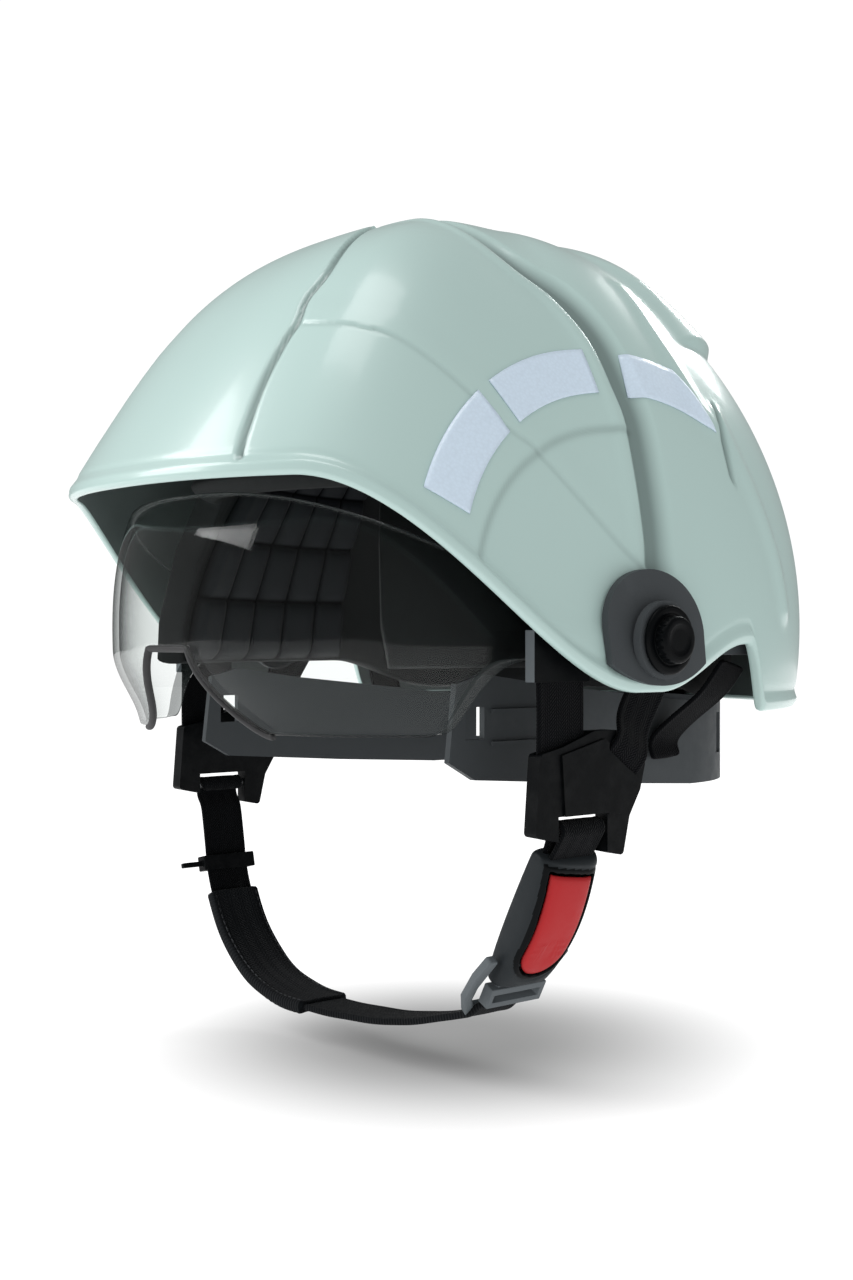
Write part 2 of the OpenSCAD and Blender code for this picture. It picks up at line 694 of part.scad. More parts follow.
module button_spring() {
    turns = 4;
    color("silver")
    in_buckle() translate([-2.6, 0, house_top - 14]) rotate([0, 90, 0])
        for (i = [0:turns - 1]) translate([0, 0, 0.5 + i * 1.7]) rotate_extrude($fn = 32)
            translate([1.9, 0]) circle(r = 0.35, $fn = 16);
}

// Latch plate of the buckle, with the eye that the chin webbing threads
module tongue() {
    color([0.5, 0.53, 0.55])
    in_buckle()
        difference() {
            union() {
                translate([-1.1, -slot_w / 2 + 0.3, house_top - house_len - 4]) cube([2.2, slot_w - 0.6, 22]);
                translate([-2.2, -12, house_top - house_len - 8.6]) cube([4.4, 24, 7.4]);
            }
            translate([-5, -4, house_top - house_len + 9]) cube([10, 8, 5]);
            translate([-5, -web_w / 2, house_top - house_len - 6.6]) cube([10, web_w, 3]);
        }
}

// ---------- chin strap ----------
// The strap lies in the plane y = chin_y. Its path is drawn in x and z.
right_x = -strap_x;
arc_r = 60;
arc_mid = [right_x + arc_r + 4, -128];
sleeve_end = -30;
chin_low = arc_mid[1] - arc_r;
// Centre line of the right webbing: down from the bar, then round towards the chin
function drop_path() = concat([[right_x, bar_z - 2.6], [right_x + 2, -119]],
    [for (a = [186:6:270]) arc_mid + arc_r * [cos(a), sin(a)]], [[sleeve_end - 6, chin_low]]);
// Centre line of the left webbing: from the chin up to the adjuster's bar
eye = [strap_x - sin(buckle_lean) * (8 - house_top + house_len), bar_z - cos(buckle_lean) * (8 - house_top + house_len)];
function chin_path() = [for (i = [0:12]) let (u = i / 12)
    [sleeve_end + 0.4 + (eye[0] - 3.4 - sleeve_end) * u, chin_low + (eye[1] - 1.2 - chin_low) * pow(u, 2.2)]];

function unit(v) = v / norm(v);
function side_of(p, i) = let (d = unit(p[min(i + 1, len(p) - 1)] - p[max(i - 1, 0)])) [-d[1], d[0]];
function band(p, t0, t1) = concat([for (i = [0:len(p) - 1]) p[i] + t1 * side_of(p, i)],
    [for (i = [len(p) - 1:-1:0]) p[i] + t0 * side_of(p, i)]);
module strap_band(path, t0, t1, w) {
    translate([0, chin_y + w / 2, 0]) rotate([90, 0, 0]) linear_extrude(w) polygon(band(path, t0, t1));
}

module chin_web_right() {
    color(black)
    difference() {
        union() {
            strap_band(drop_path(), -web_t / 2, web_t / 2, web_w - 1);
            translate([right_x, chin_y, bar_z]) rotate([90, 0, 0])
                cylinder(r = bar_r + 0.3 + web_t, h = web_w - 1, center = true, $fn = 48);
        }
        translate([right_x, chin_y, bar_z]) rotate([90, 0, 0])
            cylinder(r = bar_r + 0.3, h = web_w + 4, center = true, $fn = 48);
    }
}

module chin_sleeve() {
    path = [for (a = [204:6:270]) arc_mid + arc_r * [cos(a), sin(a)]];
    full = concat(path, [[sleeve_end, chin_low]]);
    color([0.1, 0.11, 0.12])
    difference() {
        strap_band(full, -3, 3, 25);
        strap_band(drop_path(), -web_t / 2 - 0.3, web_t / 2 + 0.3, web_w);
    }
}

// Keeper that runs along the arc of the webbing, with a pull tab
slider_angle = 193;
module length_slider() {
    color([0.3, 0.32, 0.34])
    difference() {
        translate([arc_mid[0], chin_y, arc_mid[1]]) rotate([0, 180 - slider_angle, 0]) translate([-arc_r, 0, 0]) {
            translate([-2.7, -12, -3]) cube([5.4, 24, 6]);
            translate([-1.2, -21, -1]) cube([2.4, 10, 2]);
        }
        translate([arc_mid[0], chin_y, arc_mid[1]]) rotate([90, 0, 0]) difference() {
            cylinder(r = arc_r + web_t / 2 + 0.3, h = web_w, center = true, $fn = 240);
            cylinder(r = arc_r - web_t / 2 - 0.3, h = web_w + 2, center = true, $fn = 240);
        }
    }
}

// The adjuster's frame: origin beside the foot of the housing, leaning further in than the buckle
bail_low = -22;
module in_bail() {
    in_buckle() translate([-2.2, 0, house_top - house_len + 2]) rotate([0, 17, 0]) children();
}

// Open bail round the foot of the buckle, over whose bar the chin webbing folds
module strap_adjuster() {
    outer = [[9, bail_low], [15.5, -12], [18, 0], [17.6, 9]];
    inner = [[14, 9], [14, -4], [12, -12], [8, bail_low + 4.6]];
    half = concat(outer, inner);
    color([0.42, 0.45, 0.47])
    in_bail() translate([-1.6, 0, 0]) rotate([90, 0, 90]) linear_extrude(3.2)
        polygon(concat(half, [for (i = [len(half) - 1:-1:0]) [-half[i][0], half[i][1]]]));
}

module chin_web_left() {
    color([0.13, 0.14, 0.16])
    difference() {
        strap_band(chin_path(), -web_t / 2 - 0.3, web_t / 2 + 0.3, web_w - 1);
        in_bail() translate([-30, -20, bail_low - 0.4]) cube([60, 40, 60]);
    }
    color([0.13, 0.14, 0.16])
    in_bail() hull() {
        translate([3.4, -8, -12]) cube([web_t, 16, 1]);
        translate([-0.8, -7.4, bail_low + 5]) cube([web_t, 14.8, 0.6]);
    }
}

shell();
impact_liner();
temple_pads();
brow_pad();
crown_pad();
reflective_strips();
pivot_covers();
lens();
nose_guard();
shield_arms();
arm_rivets();
pivot_shafts();
pivot_knobs();
front_strap_clips();
rear_strap_clips();
front_straps();
rear_straps();
divider_left();
divider_right();
divider_bars();
cradle_straps();
nape_cradle();
nape_pad();
ratchet_cover();
ratchet_cover_screws();
ratchet_pinion();
ratchet_knob();
rack_left();
rack_right();
buckle_web_loop();
buckle_housing();
release_button();
button_spring();
chin_web_right();
chin_sleeve();
length_slider();
tongue();
strap_adjuster();
chin_web_left();
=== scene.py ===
"""Looks for the rescue hard hat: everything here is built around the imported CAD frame, in metres.

Helper geometry is worked out in millimetres and scaled by MM when a mesh is made.
"""
import json
import math
import random

import bpy
import numpy as np
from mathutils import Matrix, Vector


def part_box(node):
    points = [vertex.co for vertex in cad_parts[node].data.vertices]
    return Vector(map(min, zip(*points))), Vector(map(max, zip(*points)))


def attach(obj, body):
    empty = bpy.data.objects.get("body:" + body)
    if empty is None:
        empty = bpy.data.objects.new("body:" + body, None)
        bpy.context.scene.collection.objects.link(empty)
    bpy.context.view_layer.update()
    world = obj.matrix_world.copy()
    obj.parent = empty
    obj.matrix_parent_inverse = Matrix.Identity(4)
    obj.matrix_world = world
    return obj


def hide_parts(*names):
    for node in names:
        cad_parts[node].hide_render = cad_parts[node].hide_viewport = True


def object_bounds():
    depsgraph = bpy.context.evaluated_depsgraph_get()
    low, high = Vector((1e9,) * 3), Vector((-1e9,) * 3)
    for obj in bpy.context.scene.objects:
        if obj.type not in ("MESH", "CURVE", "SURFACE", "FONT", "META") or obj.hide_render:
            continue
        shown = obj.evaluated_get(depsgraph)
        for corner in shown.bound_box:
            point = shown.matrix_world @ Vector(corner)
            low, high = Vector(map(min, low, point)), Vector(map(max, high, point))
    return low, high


MM = 0.001
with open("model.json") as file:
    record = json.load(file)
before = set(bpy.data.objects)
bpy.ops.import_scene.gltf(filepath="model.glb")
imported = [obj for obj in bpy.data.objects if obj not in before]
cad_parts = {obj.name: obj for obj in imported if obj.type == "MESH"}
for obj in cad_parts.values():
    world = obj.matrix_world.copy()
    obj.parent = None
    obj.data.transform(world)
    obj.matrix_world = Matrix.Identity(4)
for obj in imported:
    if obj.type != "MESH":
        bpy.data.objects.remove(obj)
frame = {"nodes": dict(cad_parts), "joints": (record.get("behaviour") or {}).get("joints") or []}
cad_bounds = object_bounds()
nodes = frame["nodes"]
joint = {j["name"]: j for j in frame["joints"]}
rng = random.Random(7)


def box_mm(node):
    low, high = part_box(node)
    return np.array(low) / MM, np.array(high) / MM


def joint_mm(name):
    return np.array(joint[name]["pos_m"]) / MM


SIDES = (("left", 1), ("right", -1))
PIVOT = joint_mm("shield_tilt")
BAR_L = joint_mm("buckle_swing")
BAR_R = joint_mm("chin_strap_swing")
RATCHET = joint_mm("ratchet_turn")


# ---------- mesh helpers
def unit(v):
    return v / np.linalg.norm(v, axis=-1, keepdims=True)


def linked(name, data):
    obj = bpy.data.objects.new(name, data)
    bpy.context.scene.collection.objects.link(obj)
    return obj


def make(name, verts, faces, material, uv=None):
    """A smooth mesh object from vertices in millimetres."""
    mesh = bpy.data.meshes.new(name)
    mesh.from_pydata([tuple(v) for v in np.asarray(verts, float) * MM], [], [tuple(f) for f in faces])
    mesh.update()
    if uv is not None:
        layer = mesh.uv_layers.new(name="UVMap")
        loops = np.zeros(len(mesh.loops), np.int32)
        mesh.loops.foreach_get("vertex_index", loops)
        layer.data.foreach_set("uv", np.asarray(uv, np.float32)[loops].ravel())
    for m in material if isinstance(material, (list, tuple)) else [material]:
        mesh.materials.append(m)
    mesh.polygons.foreach_set("use_smooth", [True] * len(mesh.polygons))
    return linked(name, mesh)


def grid_faces(rows, cols, start=0, wrap=False, flip=False):
    """Quads of a grid of vertices, joined round when wrap is set."""
    i, j = np.meshgrid(np.arange(rows - 1), np.arange(cols if wrap else cols - 1), indexing="ij")
    k = (j + 1) % cols
    row, below = start + i * cols, start + (i + 1) * cols
    a, b, c, d = row + j, row + k, below + k, below + j
    quad = np.stack([a, d, c, b] if flip else [a, b, c, d], -1).reshape(-1, 4)
    return quad.tolist()


def tube_faces(rows, cols, start=0):
    """Faces of a row of rings, with both ends capped."""
    end = start + (rows - 1) * cols
    caps = [list(range(start + cols - 1, start - 1, -1)), list(range(end, end + cols))]
    return grid_faces(rows, cols, start, wrap=True) + caps


def dome_faces(rows, cols):
    """Faces of a thick dome of rings, closed at the two poles that follow the rings in the vertex list."""
    top, under, last = rows * cols, rows * cols + 1, (rows - 1) * cols
    faces = grid_faces(rows, cols, wrap=True, flip=True)
    faces += [(top, (j + 1) % cols, j) for j in range(cols)]
    return faces + [(under, last + j, last + (j + 1) % cols) for j in range(cols)]


def sheet_pair(name, outer, inner, material, rim_slot=None):
    """A closed piece between two grids of points of equal shape."""
    rows, cols = outer.shape[:2]
    n = rows * cols
    verts = np.concatenate([outer.reshape(-1, 3), inner.reshape(-1, 3)])
    faces = grid_faces(rows, cols, 0) + grid_faces(rows, cols, n, flip=True)
    index = np.arange(n).reshape(rows, cols)
    rim = [int(k) for k in [*index[0], *index[1:, -1], *index[-1, -2::-1], *index[-2:0:-1, 0]]]
    flat = len(faces)
    faces += [(rim[(k + 1) % len(rim)], a, n + a, n + rim[(k + 1) % len(rim)]) for k, a in enumerate(rim)]
    obj = make(name, verts, faces, material)
    if rim_slot is not None:
        for p in obj.data.polygons[flat:]:
            p.material_index = rim_slot
    return obj


def lathe(name, profile, material, axis, origin, segments, ripple):
    """Revolves (radius, height) points about an axis; ripple(angle, radius, height) changes the radius."""
    axis = np.array(axis, float)
    side = np.array([0, 0, 1.0]) if abs(axis[2]) < 0.9 else np.array([1.0, 0, 0])
    u = unit(np.cross(side, axis))
    v = np.cross(axis, u)
    verts = []
    for r, h in profile:
        for k in range(segments):
            a = 2 * math.pi * k / segments
            q = r + ripple(a, r, h)
            verts.append(np.array(origin) + axis * h + q * (math.cos(a) * u + math.sin(a) * v))
    faces = grid_faces(len(profile), segments, wrap=True, flip=True)
    faces.append(list(range(segments)))
    faces.append(list(range(len(verts) - 1, len(verts) - segments - 1, -1)))
    return make(name, verts, faces, material)


def refine(profile):
    """Splits each run of a (radius, height) profile in three, so that its corners stay crisp."""
    runs = [np.linspace(a, b, 3, endpoint=False) for a, b in zip(profile[:-1], profile[1:])]
    return [*np.concatenate(runs), profile[-1]]


def place(obj, body, slot, *replaced):
    """Hands a finished piece to its body, in place of the CAD nodes it stands for. The slot is not used."""
    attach(obj, body)
    if replaced:
        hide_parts(*replaced)
    return obj


def modifier(obj, kind, **settings):
    """Adds a modifier of one kind with its settings."""
    m = obj.modifiers.new(kind.lower(), kind)
    for key, value in settings.items():
        setattr(m, key, value)
    return m


MOULDED_EDGE = math.radians(35)


def soften(obj, width, segments=3):
    """Rounds the moulded edges of a carried-over piece."""
    modifier(obj, "WELD", merge_threshold=2e-6)
    modifier(obj, "BEVEL", width=width * MM, segments=segments, limit_method="ANGLE",
             angle_limit=MOULDED_EDGE, use_clamp_overlap=True, harden_normals=False)
    obj.data.polygons.foreach_set("use_smooth", [True] * len(obj.data.polygons))
    modifier(obj, "WEIGHTED_NORMAL", keep_sharp=False, weight=80)


# ---------- materials
class Look:
    """A node material built line by line."""

    def __init__(self, name):
        self.mat = bpy.data.materials.new(name)
        self.mat.use_nodes = True
        self.tree = self.mat.node_tree
        self.tree.nodes.clear()
        self.out = self.add("OutputMaterial")
        coords = self.add("TexCoord").outputs
        self.place, self.uv = coords["Object"], coords["UV"]

    def add(self, kind, sockets=None, **props):
        node = self.tree.nodes.new("ShaderNode" + kind)
        for key, value in props.items():
            setattr(node, key, value)
        for key, value in (sockets or {}).items():
            target = node.inputs[key]
            if isinstance(value, bpy.types.NodeSocket):
                self.tree.links.new(value, target)
            else:
                target.default_value = value
        return node

    def math(self, op, a, b=0.0, clamp=False):
        return self.add("Math", {0: a, 1: b}, operation=op, use_clamp=clamp).outputs[0]

    def noise(self, scale, detail, rough=0.5, vector=None):
        return self.add("TexNoise", {"Vector": vector or self.place, "Scale": scale, "Detail": detail,
                                     "Roughness": rough}).outputs["Fac"]

    def remap(self, value, low, high, to_low, to_high):
        return self.add("MapRange", {"Value": value, "From Min": low, "From Max": high,
                                     "To Min": to_low, "To Max": to_high}).outputs[0]

    def mix(self, fac, a, b):
        node = self.add("Mix", data_type="RGBA")
        for index, value in ((0, fac), (6, a), (7, b)):
            if isinstance(value, bpy.types.NodeSocket):
                self.tree.links.new(value, node.inputs[index])
            else:
                node.inputs[index].default_value = value
        return node.outputs[2]

    def bump(self, height, strength, distance, normal=None):
        sockets = {"Height": height, "Strength": strength, "Distance": distance * MM}
        if normal:
            sockets["Normal"] = normal
        return self.add("Bump", sockets).outputs[0]

    def edges(self):
        """1 on worn outside edges, 0 elsewhere."""
        return self.remap(self.add("NewGeometry").outputs["Pointiness"], 0.505, 0.56, 0.0, 1.0)

    def seam(self):
        """How deep in a seam or a sewn channel a point lies, as laid into the mesh: the mask for painted
        shade.
        """
        return self.add("Attribute", attribute_name="seam").outputs["Fac"]

    def end(self, shader):
        self.tree.links.new(shader.outputs[0], self.out.inputs[0])
        return self.mat

    def surface(self, sockets):
        return self.end(self.add("BsdfPrincipled", sockets))


def rgba(r, g, b):
    return (r, g, b, 1.0)


def shade(color, k):
    return rgba(*(min(1.0, c * k) for c in color[:3]))


def gloss_shell():
    """Glossy moulded shell with painted shade darkening its seams, channel, crease, ear arc and slit."""
    look = Look("shell_gloss")
    base = rgba(0.475, 0.63, 0.60)
    tone = look.mix(look.noise(14, 2), shade(base, 0.98), shade(base, 1.02))
    # painted shade: the seam mask pulls the shell colour to a dark green-grey in its seams and channels
    color = look.mix(look.seam(), tone, rgba(0.085, 0.12, 0.115))
    rough = look.remap(look.noise(12, 1, 0.3), 0.2, 0.8, 0.27, 0.32)
    return look.surface({"Base Color": color, "Roughness": rough,
                         "Coat Weight": 0.35, "Coat Roughness": 0.12, "Specular IOR Level": 0.4})


def moulded(name, base, rough, grain=1500, depth=0.06, wear=0.04, shine=0.14):
    """Moulded plastic: fine spark-eroded grain, slight mottling, paler rubbed edges."""
    look = Look(name)
    tone = look.mix(look.noise(60, 3), shade(base, 0.96), shade(base, 1.04))
    patches = look.remap(look.noise(180, 4, 0.7), 0.4, 0.65, 0.0, wear)
    worn = look.math("MULTIPLY", look.edges(), patches, True)
    color = look.mix(worn, tone, shade((base[0] + 0.06, base[1] + 0.06, base[2] + 0.06), 1.6))
    fine = look.noise(grain, 3, 0.6)
    roughness = look.remap(look.noise(240, 3), 0.3, 0.7, rough - 0.06, rough + 0.08)
    return look.surface({"Base Color": color, "Roughness": roughness, "Normal": look.bump(fine, 0.5, depth),
                         "Specular IOR Level": shine})


def foam():
    """Moulded bead foam."""
    look = Look("foam_beads")
    base = rgba(0.007, 0.0085, 0.009)
    cells = look.add("TexVoronoi", {"Vector": look.place, "Scale": 330.0})
    rim = look.remap(cells.outputs["Distance"], 0.0, 0.7, 0.0, 1.0)
    tone = look.mix(rim, shade(base, 1.1), shade(base, 0.9))
    return look.surface({"Base Color": tone, "Roughness": 0.75, "Specular IOR Level": 0.2,
                         "Normal": look.bump(cells.outputs["Distance"], 0.12, -0.05)})


FUZZ = 0.04


def woven(name, base, thread=0.95):
    """Webbing: slanted ribs across and warp threads along, from the ribbon's own millimetres."""
    look = Look(name)
    split = look.add("SeparateXYZ", {"Vector": look.uv})
    along, across = split.outputs[0], split.outputs[1]
    warp = look.math("SINE", look.math("MULTIPLY", across, 2 * math.pi / thread))
    zig = look.math("PINGPONG", across, 2.6)
    slant = look.math("ADD", along, zig)
    weft = look.math("SINE", look.math("MULTIPLY", slant, 2 * math.pi / (thread * 1.15)))
    height = look.math("ADD", look.math("MULTIPLY", warp, 0.35), look.math("MULTIPLY", weft, 0.65))
    hair = look.noise(2200, 3, 0.7)
    # colour follows the weave's height: painted shade in its valleys, painted highlight on its raised threads
    level = look.remap(height, -1.0, 1.0, 0.0, 1.0)
    color = look.mix(level, shade(base, 0.5), shade(base, 1.35))
    color = look.mix(look.remap(look.noise(70, 3), 0.35, 0.7, 0.0, 0.3), color, shade(base, 1.9))
    normal = look.bump(hair, 0.35, 0.12, look.bump(height, 0.7, 0.22))
    return look.surface({"Base Color": color, "Roughness": 0.82, "Sheen Weight": FUZZ, "Sheen Roughness": 0.5,
                         "Specular IOR Level": 0.06, "Normal": normal})


def knit(name, base):
    """Pad cloth: a fine knit that needs no laid-out coordinates, darkened by painted shade in its sewn
    channels.
    """
    look = Look(name)
    split = look.add("SeparateXYZ", {"Vector": look.place})
    waves = [look.math("SINE", look.math("MULTIPLY", s, 4500.0)) for s in split.outputs]
    height = look.math("MULTIPLY", look.math("ADD", waves[0], waves[1]), look.math("ADD", waves[2], 1.6))
    seam = look.seam()
    color = look.mix(look.noise(120, 3), shade(base, 0.85), shade(base, 1.2))
    # painted shade: the sewn channels go near black and lose their reflections
    color = look.mix(look.math("POWER", seam, 2.0), color, shade(base, 0.08))
    return look.surface({"Base Color": color, "Roughness": 0.6, "Sheen Weight": FUZZ, "Sheen Roughness": 0.4,
                         "Specular IOR Level": look.remap(seam, 0.0, 1.0, 0.22, 0.0),
                         "Normal": look.bump(height, 0.12, 0.01)})


def reflective():
    """Retro-reflective film: tiny prisms under a clear skin."""
    look = Look("prism_film")
    cells = look.add("TexVoronoi", {"Vector": look.place, "Scale": 900.0})
    tone = look.mix(cells.outputs["Distance"], rgba(0.70, 0.83, 0.96), rgba(0.64, 0.76, 0.88))
    return look.surface({"Base Color": tone, "Roughness": 0.4, "Coat Weight": 0.3, "Coat Roughness": 0.1,
                         "Normal": look.bump(cells.outputs["Distance"], 0.05, 0.02)})


def steel():
    """Brushed bare steel."""
    look = Look("bare_steel")
    stretch = look.add("Mapping", {"Vector": look.place,
                               "Scale": (90.0, 900.0, 2400.0)})
    lines = look.noise(1.0, 4, 0.7, stretch.outputs[0])
    return look.surface({"Base Color": look.mix(lines, rgba(0.5, 0.51, 0.52), rgba(0.72, 0.73, 0.74)),
                         "Metallic": 1.0, "Roughness": look.remap(lines, 0.2, 0.8, 0.22, 0.42),
                         "Normal": look.bump(lines, 0.2, 0.03)})


def rubber():
    """Soft black rubber."""
    look = Look("soft_rubber")
    tone = look.mix(look.noise(300, 3), rgba(0.012, 0.012, 0.013), rgba(0.03, 0.03, 0.032))
    grain = look.bump(look.noise(1200, 2), 0.3, 0.05)
    return look.surface({"Base Color": tone, "Roughness": 0.62, "Normal": grain})


def clear_lens():
    """Thin polycarbonate: see-through with glossy reflections and faint wipe marks."""
    look = Look("clear_lens")
    marks = look.add("Mapping", {"Vector": look.place,
                               "Scale": (40.0, 400.0, 400.0)})
    haze = look.noise(3.0, 5, 0.7, marks.outputs[0])
    glossy = look.add("BsdfAnisotropic", {"Roughness": look.remap(haze, 0.4, 0.8, 0.03, 0.09)})
    facing = look.add("LayerWeight", {"Blend": 0.5}).outputs["Facing"]
    # painted shade: the see-through colour darkens towards grazing angles, drawing dark lines along the
    # lens's edges
    depth = look.math("POWER", facing, 5.0)
    clear = look.add("BsdfTransparent", {"Color": look.mix(depth, rgba(0.965, 0.98, 0.975),
                                                                     rgba(0.06, 0.08, 0.08))})
    weight = look.math("ADD", look.math("MULTIPLY", look.math("POWER", facing, 4.0), 0.55), 0.012, True)
    return look.end(look.add("MixShader", {0: weight, 1: clear.outputs[0], 2: glossy.outputs[0]}))


def lens_rim():
    """The sawn edge of the lens, made darker and greener than its face as painted shade."""
    look = Look("lens_rim")
    tone = look.mix(look.noise(200, 3), rgba(0.02, 0.025, 0.025), rgba(0.06, 0.07, 0.07))
    gloss = look.add("BsdfPrincipled", {"Base Color": tone, "Roughness": 0.3,
                                                  "Specular IOR Level": 0.2})
    clear = look.add("BsdfTransparent", {"Color": rgba(0.9, 0.92, 0.92)})
    return look.end(look.add("MixShader", {0: 0.6, 1: clear.outputs[0], 2: gloss.outputs[0]}))


def painted_shade_inside():
    """The inside of the shell: the shell's mint darkened as painted shade."""
    look = Look("shell_inside")
    tone = look.mix(look.noise(50, 3), rgba(0.085, 0.108, 0.104), rgba(0.105, 0.13, 0.126))
    grain = look.bump(look.noise(700, 3), 0.4, 0.08)
    return look.surface({"Base Color": tone, "Roughness": 0.55, "Normal": grain})


M = {
    "shell": gloss_shell(), "inside": painted_shade_inside(), "foam": foam(), "film": reflective(), "rubber": rubber(),
    "black": moulded("black_plastic", rgba(0.0016, 0.0022, 0.0028), 0.42, shine=0.08),
    "charcoal": moulded("charcoal_plastic", rgba(0.020, 0.024, 0.027), 0.5),
    "slate": moulded("slate_plastic", rgba(0.060, 0.067, 0.072), 0.5),
    "grey": moulded("grey_plastic", rgba(0.11, 0.125, 0.135), 0.45),
    "red": moulded("red_plastic", rgba(0.42, 0.018, 0.021), 0.42, 900, 0.03, 0.1),
    "steel": steel(), "lens": clear_lens(), "lens_rim": lens_rim(),
    "web": woven("webbing", rgba(0.0018, 0.0022, 0.003)),
    "band": woven("chin_band", rgba(0.0055, 0.0065, 0.0078), 1.3),
    "pad": knit("pad_cloth", rgba(0.010, 0.012, 0.0145)),
    "thread": knit("stitch_thread", rgba(0.03, 0.032, 0.036)),
}


def dress(node, material):
    """A carried-over CAD node takes a finished material."""
    mesh = nodes[node].data
    mesh.materials.clear()
    mesh.materials.append(material)
    mesh.polygons.foreach_set("material_index", [0] * len(mesh.polygons))
    return nodes[node]


# ---------- domes, by the rule of the CAD shell and liner
def ramp(x, a, b):
    """0 below a, 1 above b, with a smooth rise between."""
    t = np.clip((np.asarray(x, float) - a) / (b - a), 0, 1)
    return t * t * (3 - 2 * t)


def bell(x, centre, width):
    return np.exp(-((x - centre) / width) ** 2)


def blend(a, b, share):
    return a + (b - a) * share


def series(values, degrees):
    """A smooth curve through evenly spaced values from the front (0 degrees) to the back (180)."""
    n = len(values) - 1
    half = [0.5 if k in (0, n) else 1.0 for k in range(n + 1)]
    total = 0
    for k in range(n + 1):
        c = half[k] * 2 / n * sum(half[j] * values[j] * math.cos(math.pi * j * k / n) for j in range(n + 1))
        total = total + c * np.cos(np.radians(k * degrees))
    return total


def full_turn(count):
    return np.linspace(0, 360, count, endpoint=False)


def from_front(t):
    """Degrees away from the front, whichever way round."""
    m = np.abs(t) % 360
    return np.where(m > 180, 360 - m, m)


shell_low, shell_high = box_mm("shell")
liner_high = box_mm("impact_liner")[1]
LOBE, NAPE = 66.0, -shell_low[2]
SHELL = dict(side=shell_high[0], front=-shell_low[1], rear=126.0, crown=shell_high[2], shift=8.0,
             crown_arm=(0.57, 0.6, 0.62, 0.56, 0.58), slope=(56, 69, 86, 100, 103), arm=(72, 77, 96, 96, 92),
             form=lambda a: -LOBE * ramp(a, 29, 79) - (NAPE - LOBE) * ramp(a, 84, 112))
LINER = dict(side=91.0, front=122.0, rear=108.0, crown=liner_high[2], shift=19.0,
             crown_arm=(0.4, 0.43, 0.5, 0.52, 0.5), slope=(84, 85, 88, 94, 96), arm=(80, 77, 72, 74, 72),
             form=lambda a: -58 - 12 * ramp(a, 95, 125))
LINER_WALL = 10.0


def dome(d, t, s):
    """Points at angles t from the front and shares s of the way down."""
    t, s = np.broadcast_arrays(np.asarray(t, float), np.asarray(s, float))
    a = np.radians(t)
    reach = np.where(np.cos(a) > 0, d["front"], d["rear"])
    plan = (np.abs(np.cos(a) / reach) ** 2.3 + np.abs(np.sin(a) / d["side"]) ** 2.3) ** (-1 / 2.3)
    edge = d["form"](from_front(t))
    slope, arm = np.radians(series(d["slope"], t)), series(d["arm"], t)
    r1, r2, z2 = series(d["crown_arm"], t) * plan, plan - arm * np.cos(slope), edge + arm * np.sin(slope)
    q = 1 - s
    b1, b2 = 3 * s * q * q, 3 * s * s * q
    r = b1 * r1 + b2 * r2 + s ** 3 * plan
    z = (q ** 3 + b1) * d["crown"] + b2 * z2 + s ** 3 * edge
    return np.stack([r * np.sin(a), d["shift"] * q * q - r * np.cos(a), z], -1)


def dome_frame(d, t, s):
    """Point, outward normal and unit direction down the surface."""
    p = dome(d, t, s)
    u = dome(d, t + 0.5, s) - dome(d, t - 0.5, s)
    v = dome(d, t, s + 0.005) - dome(d, t, s - 0.005)
    return p, unit(np.cross(v, u)), unit(v)


def shell_trim_height(t):
    """Height of the brim: lobes at the sides, and the nape below them behind the ears."""
    a = from_front(t)
    rise = 15 * ramp(a, 84, 106) - 15 * ramp(a, 107, 111.5)
    return SHELL["form"](a) + rise + (NAPE - LOBE) * (ramp(a, 84, 112) - ramp(a, 107, 111.5))


def share_at(d, t, z, low, high):
    """The share of the way down at which a dome passes height z, found by halving."""
    low, high = np.full_like(t, low), np.full_like(t, high)
    for _ in range(30):
        mid = (low + high) / 2
        above = dome(d, t, mid)[..., 2] > z
        low, high = np.where(above, mid, low), np.where(above, high, mid)
    return (low + high) / 2


# ---------- relief of the shell
WEDGE = [(51.4, -130.5, 2.3), (48.1, -125.3, 12.8), (44.3, -116.8, 27.7), (42.2, -106.5, 43.1),
         (41.9, -101.7, 49.4), (38.1, -95.7, 57.9), (36.5, -86.5, 67.6), (28, -72, 80), (15, -52, 91),
         (0, -36, 96)]
GROOVE = [(0, -31, 98), (25, -31, 94), (45, -27, 86), (59.5, -21, 76.5), (70, -12.5, 67.5),
          (82.5, -6.4, 51.2), (92.4, -4.8, 33.3), (97.6, -3.8, 21.5), (103.3, -5, 4.2),
          (108.2, -6.5, -15.6), (110.5, -8, -27)]
CREASE = [(41.9, -101.7, 49.4), (50.2, -98.9, 48.6), (58.1, -95.2, 47.5), (71.2, -83.5, 42.5),
          (81.3, -72, 31.7), (90, -59, 17.4), (94.6, -47.1, 9.1), (100.8, -34.3, -5.2),
          (106.5, -22.4, -19.3), (110, -14.3, -28.9)]
REAR_SLIT = [(93.5, 38.7, 30.4), (96.9, 37.3, 23.3), (100, 37.2, 15.4), (103.5, 36.8, 4)]
SIDE_RIDGE = [(66, 21.5, 74), (74.5, 21.1, 64.1), (82.2, 21.4, 54), (89.1, 24.4, 42.3),
              (94.3, 28.1, 31.4), (97.5, 33, 22.4)]
REAR_RIDGE = [(95.1, 38.4, 27.1), (100.1, 42.4, 13.1), (103, 47, 1.7), (104.9, 51.1, -9),
              (106.3, 56.6, -23.1), (106.9, 60.9, -40.5)]


def run_length(line):
    return np.concatenate([[0], np.cumsum(np.linalg.norm(np.diff(line, axis=0), axis=1))])


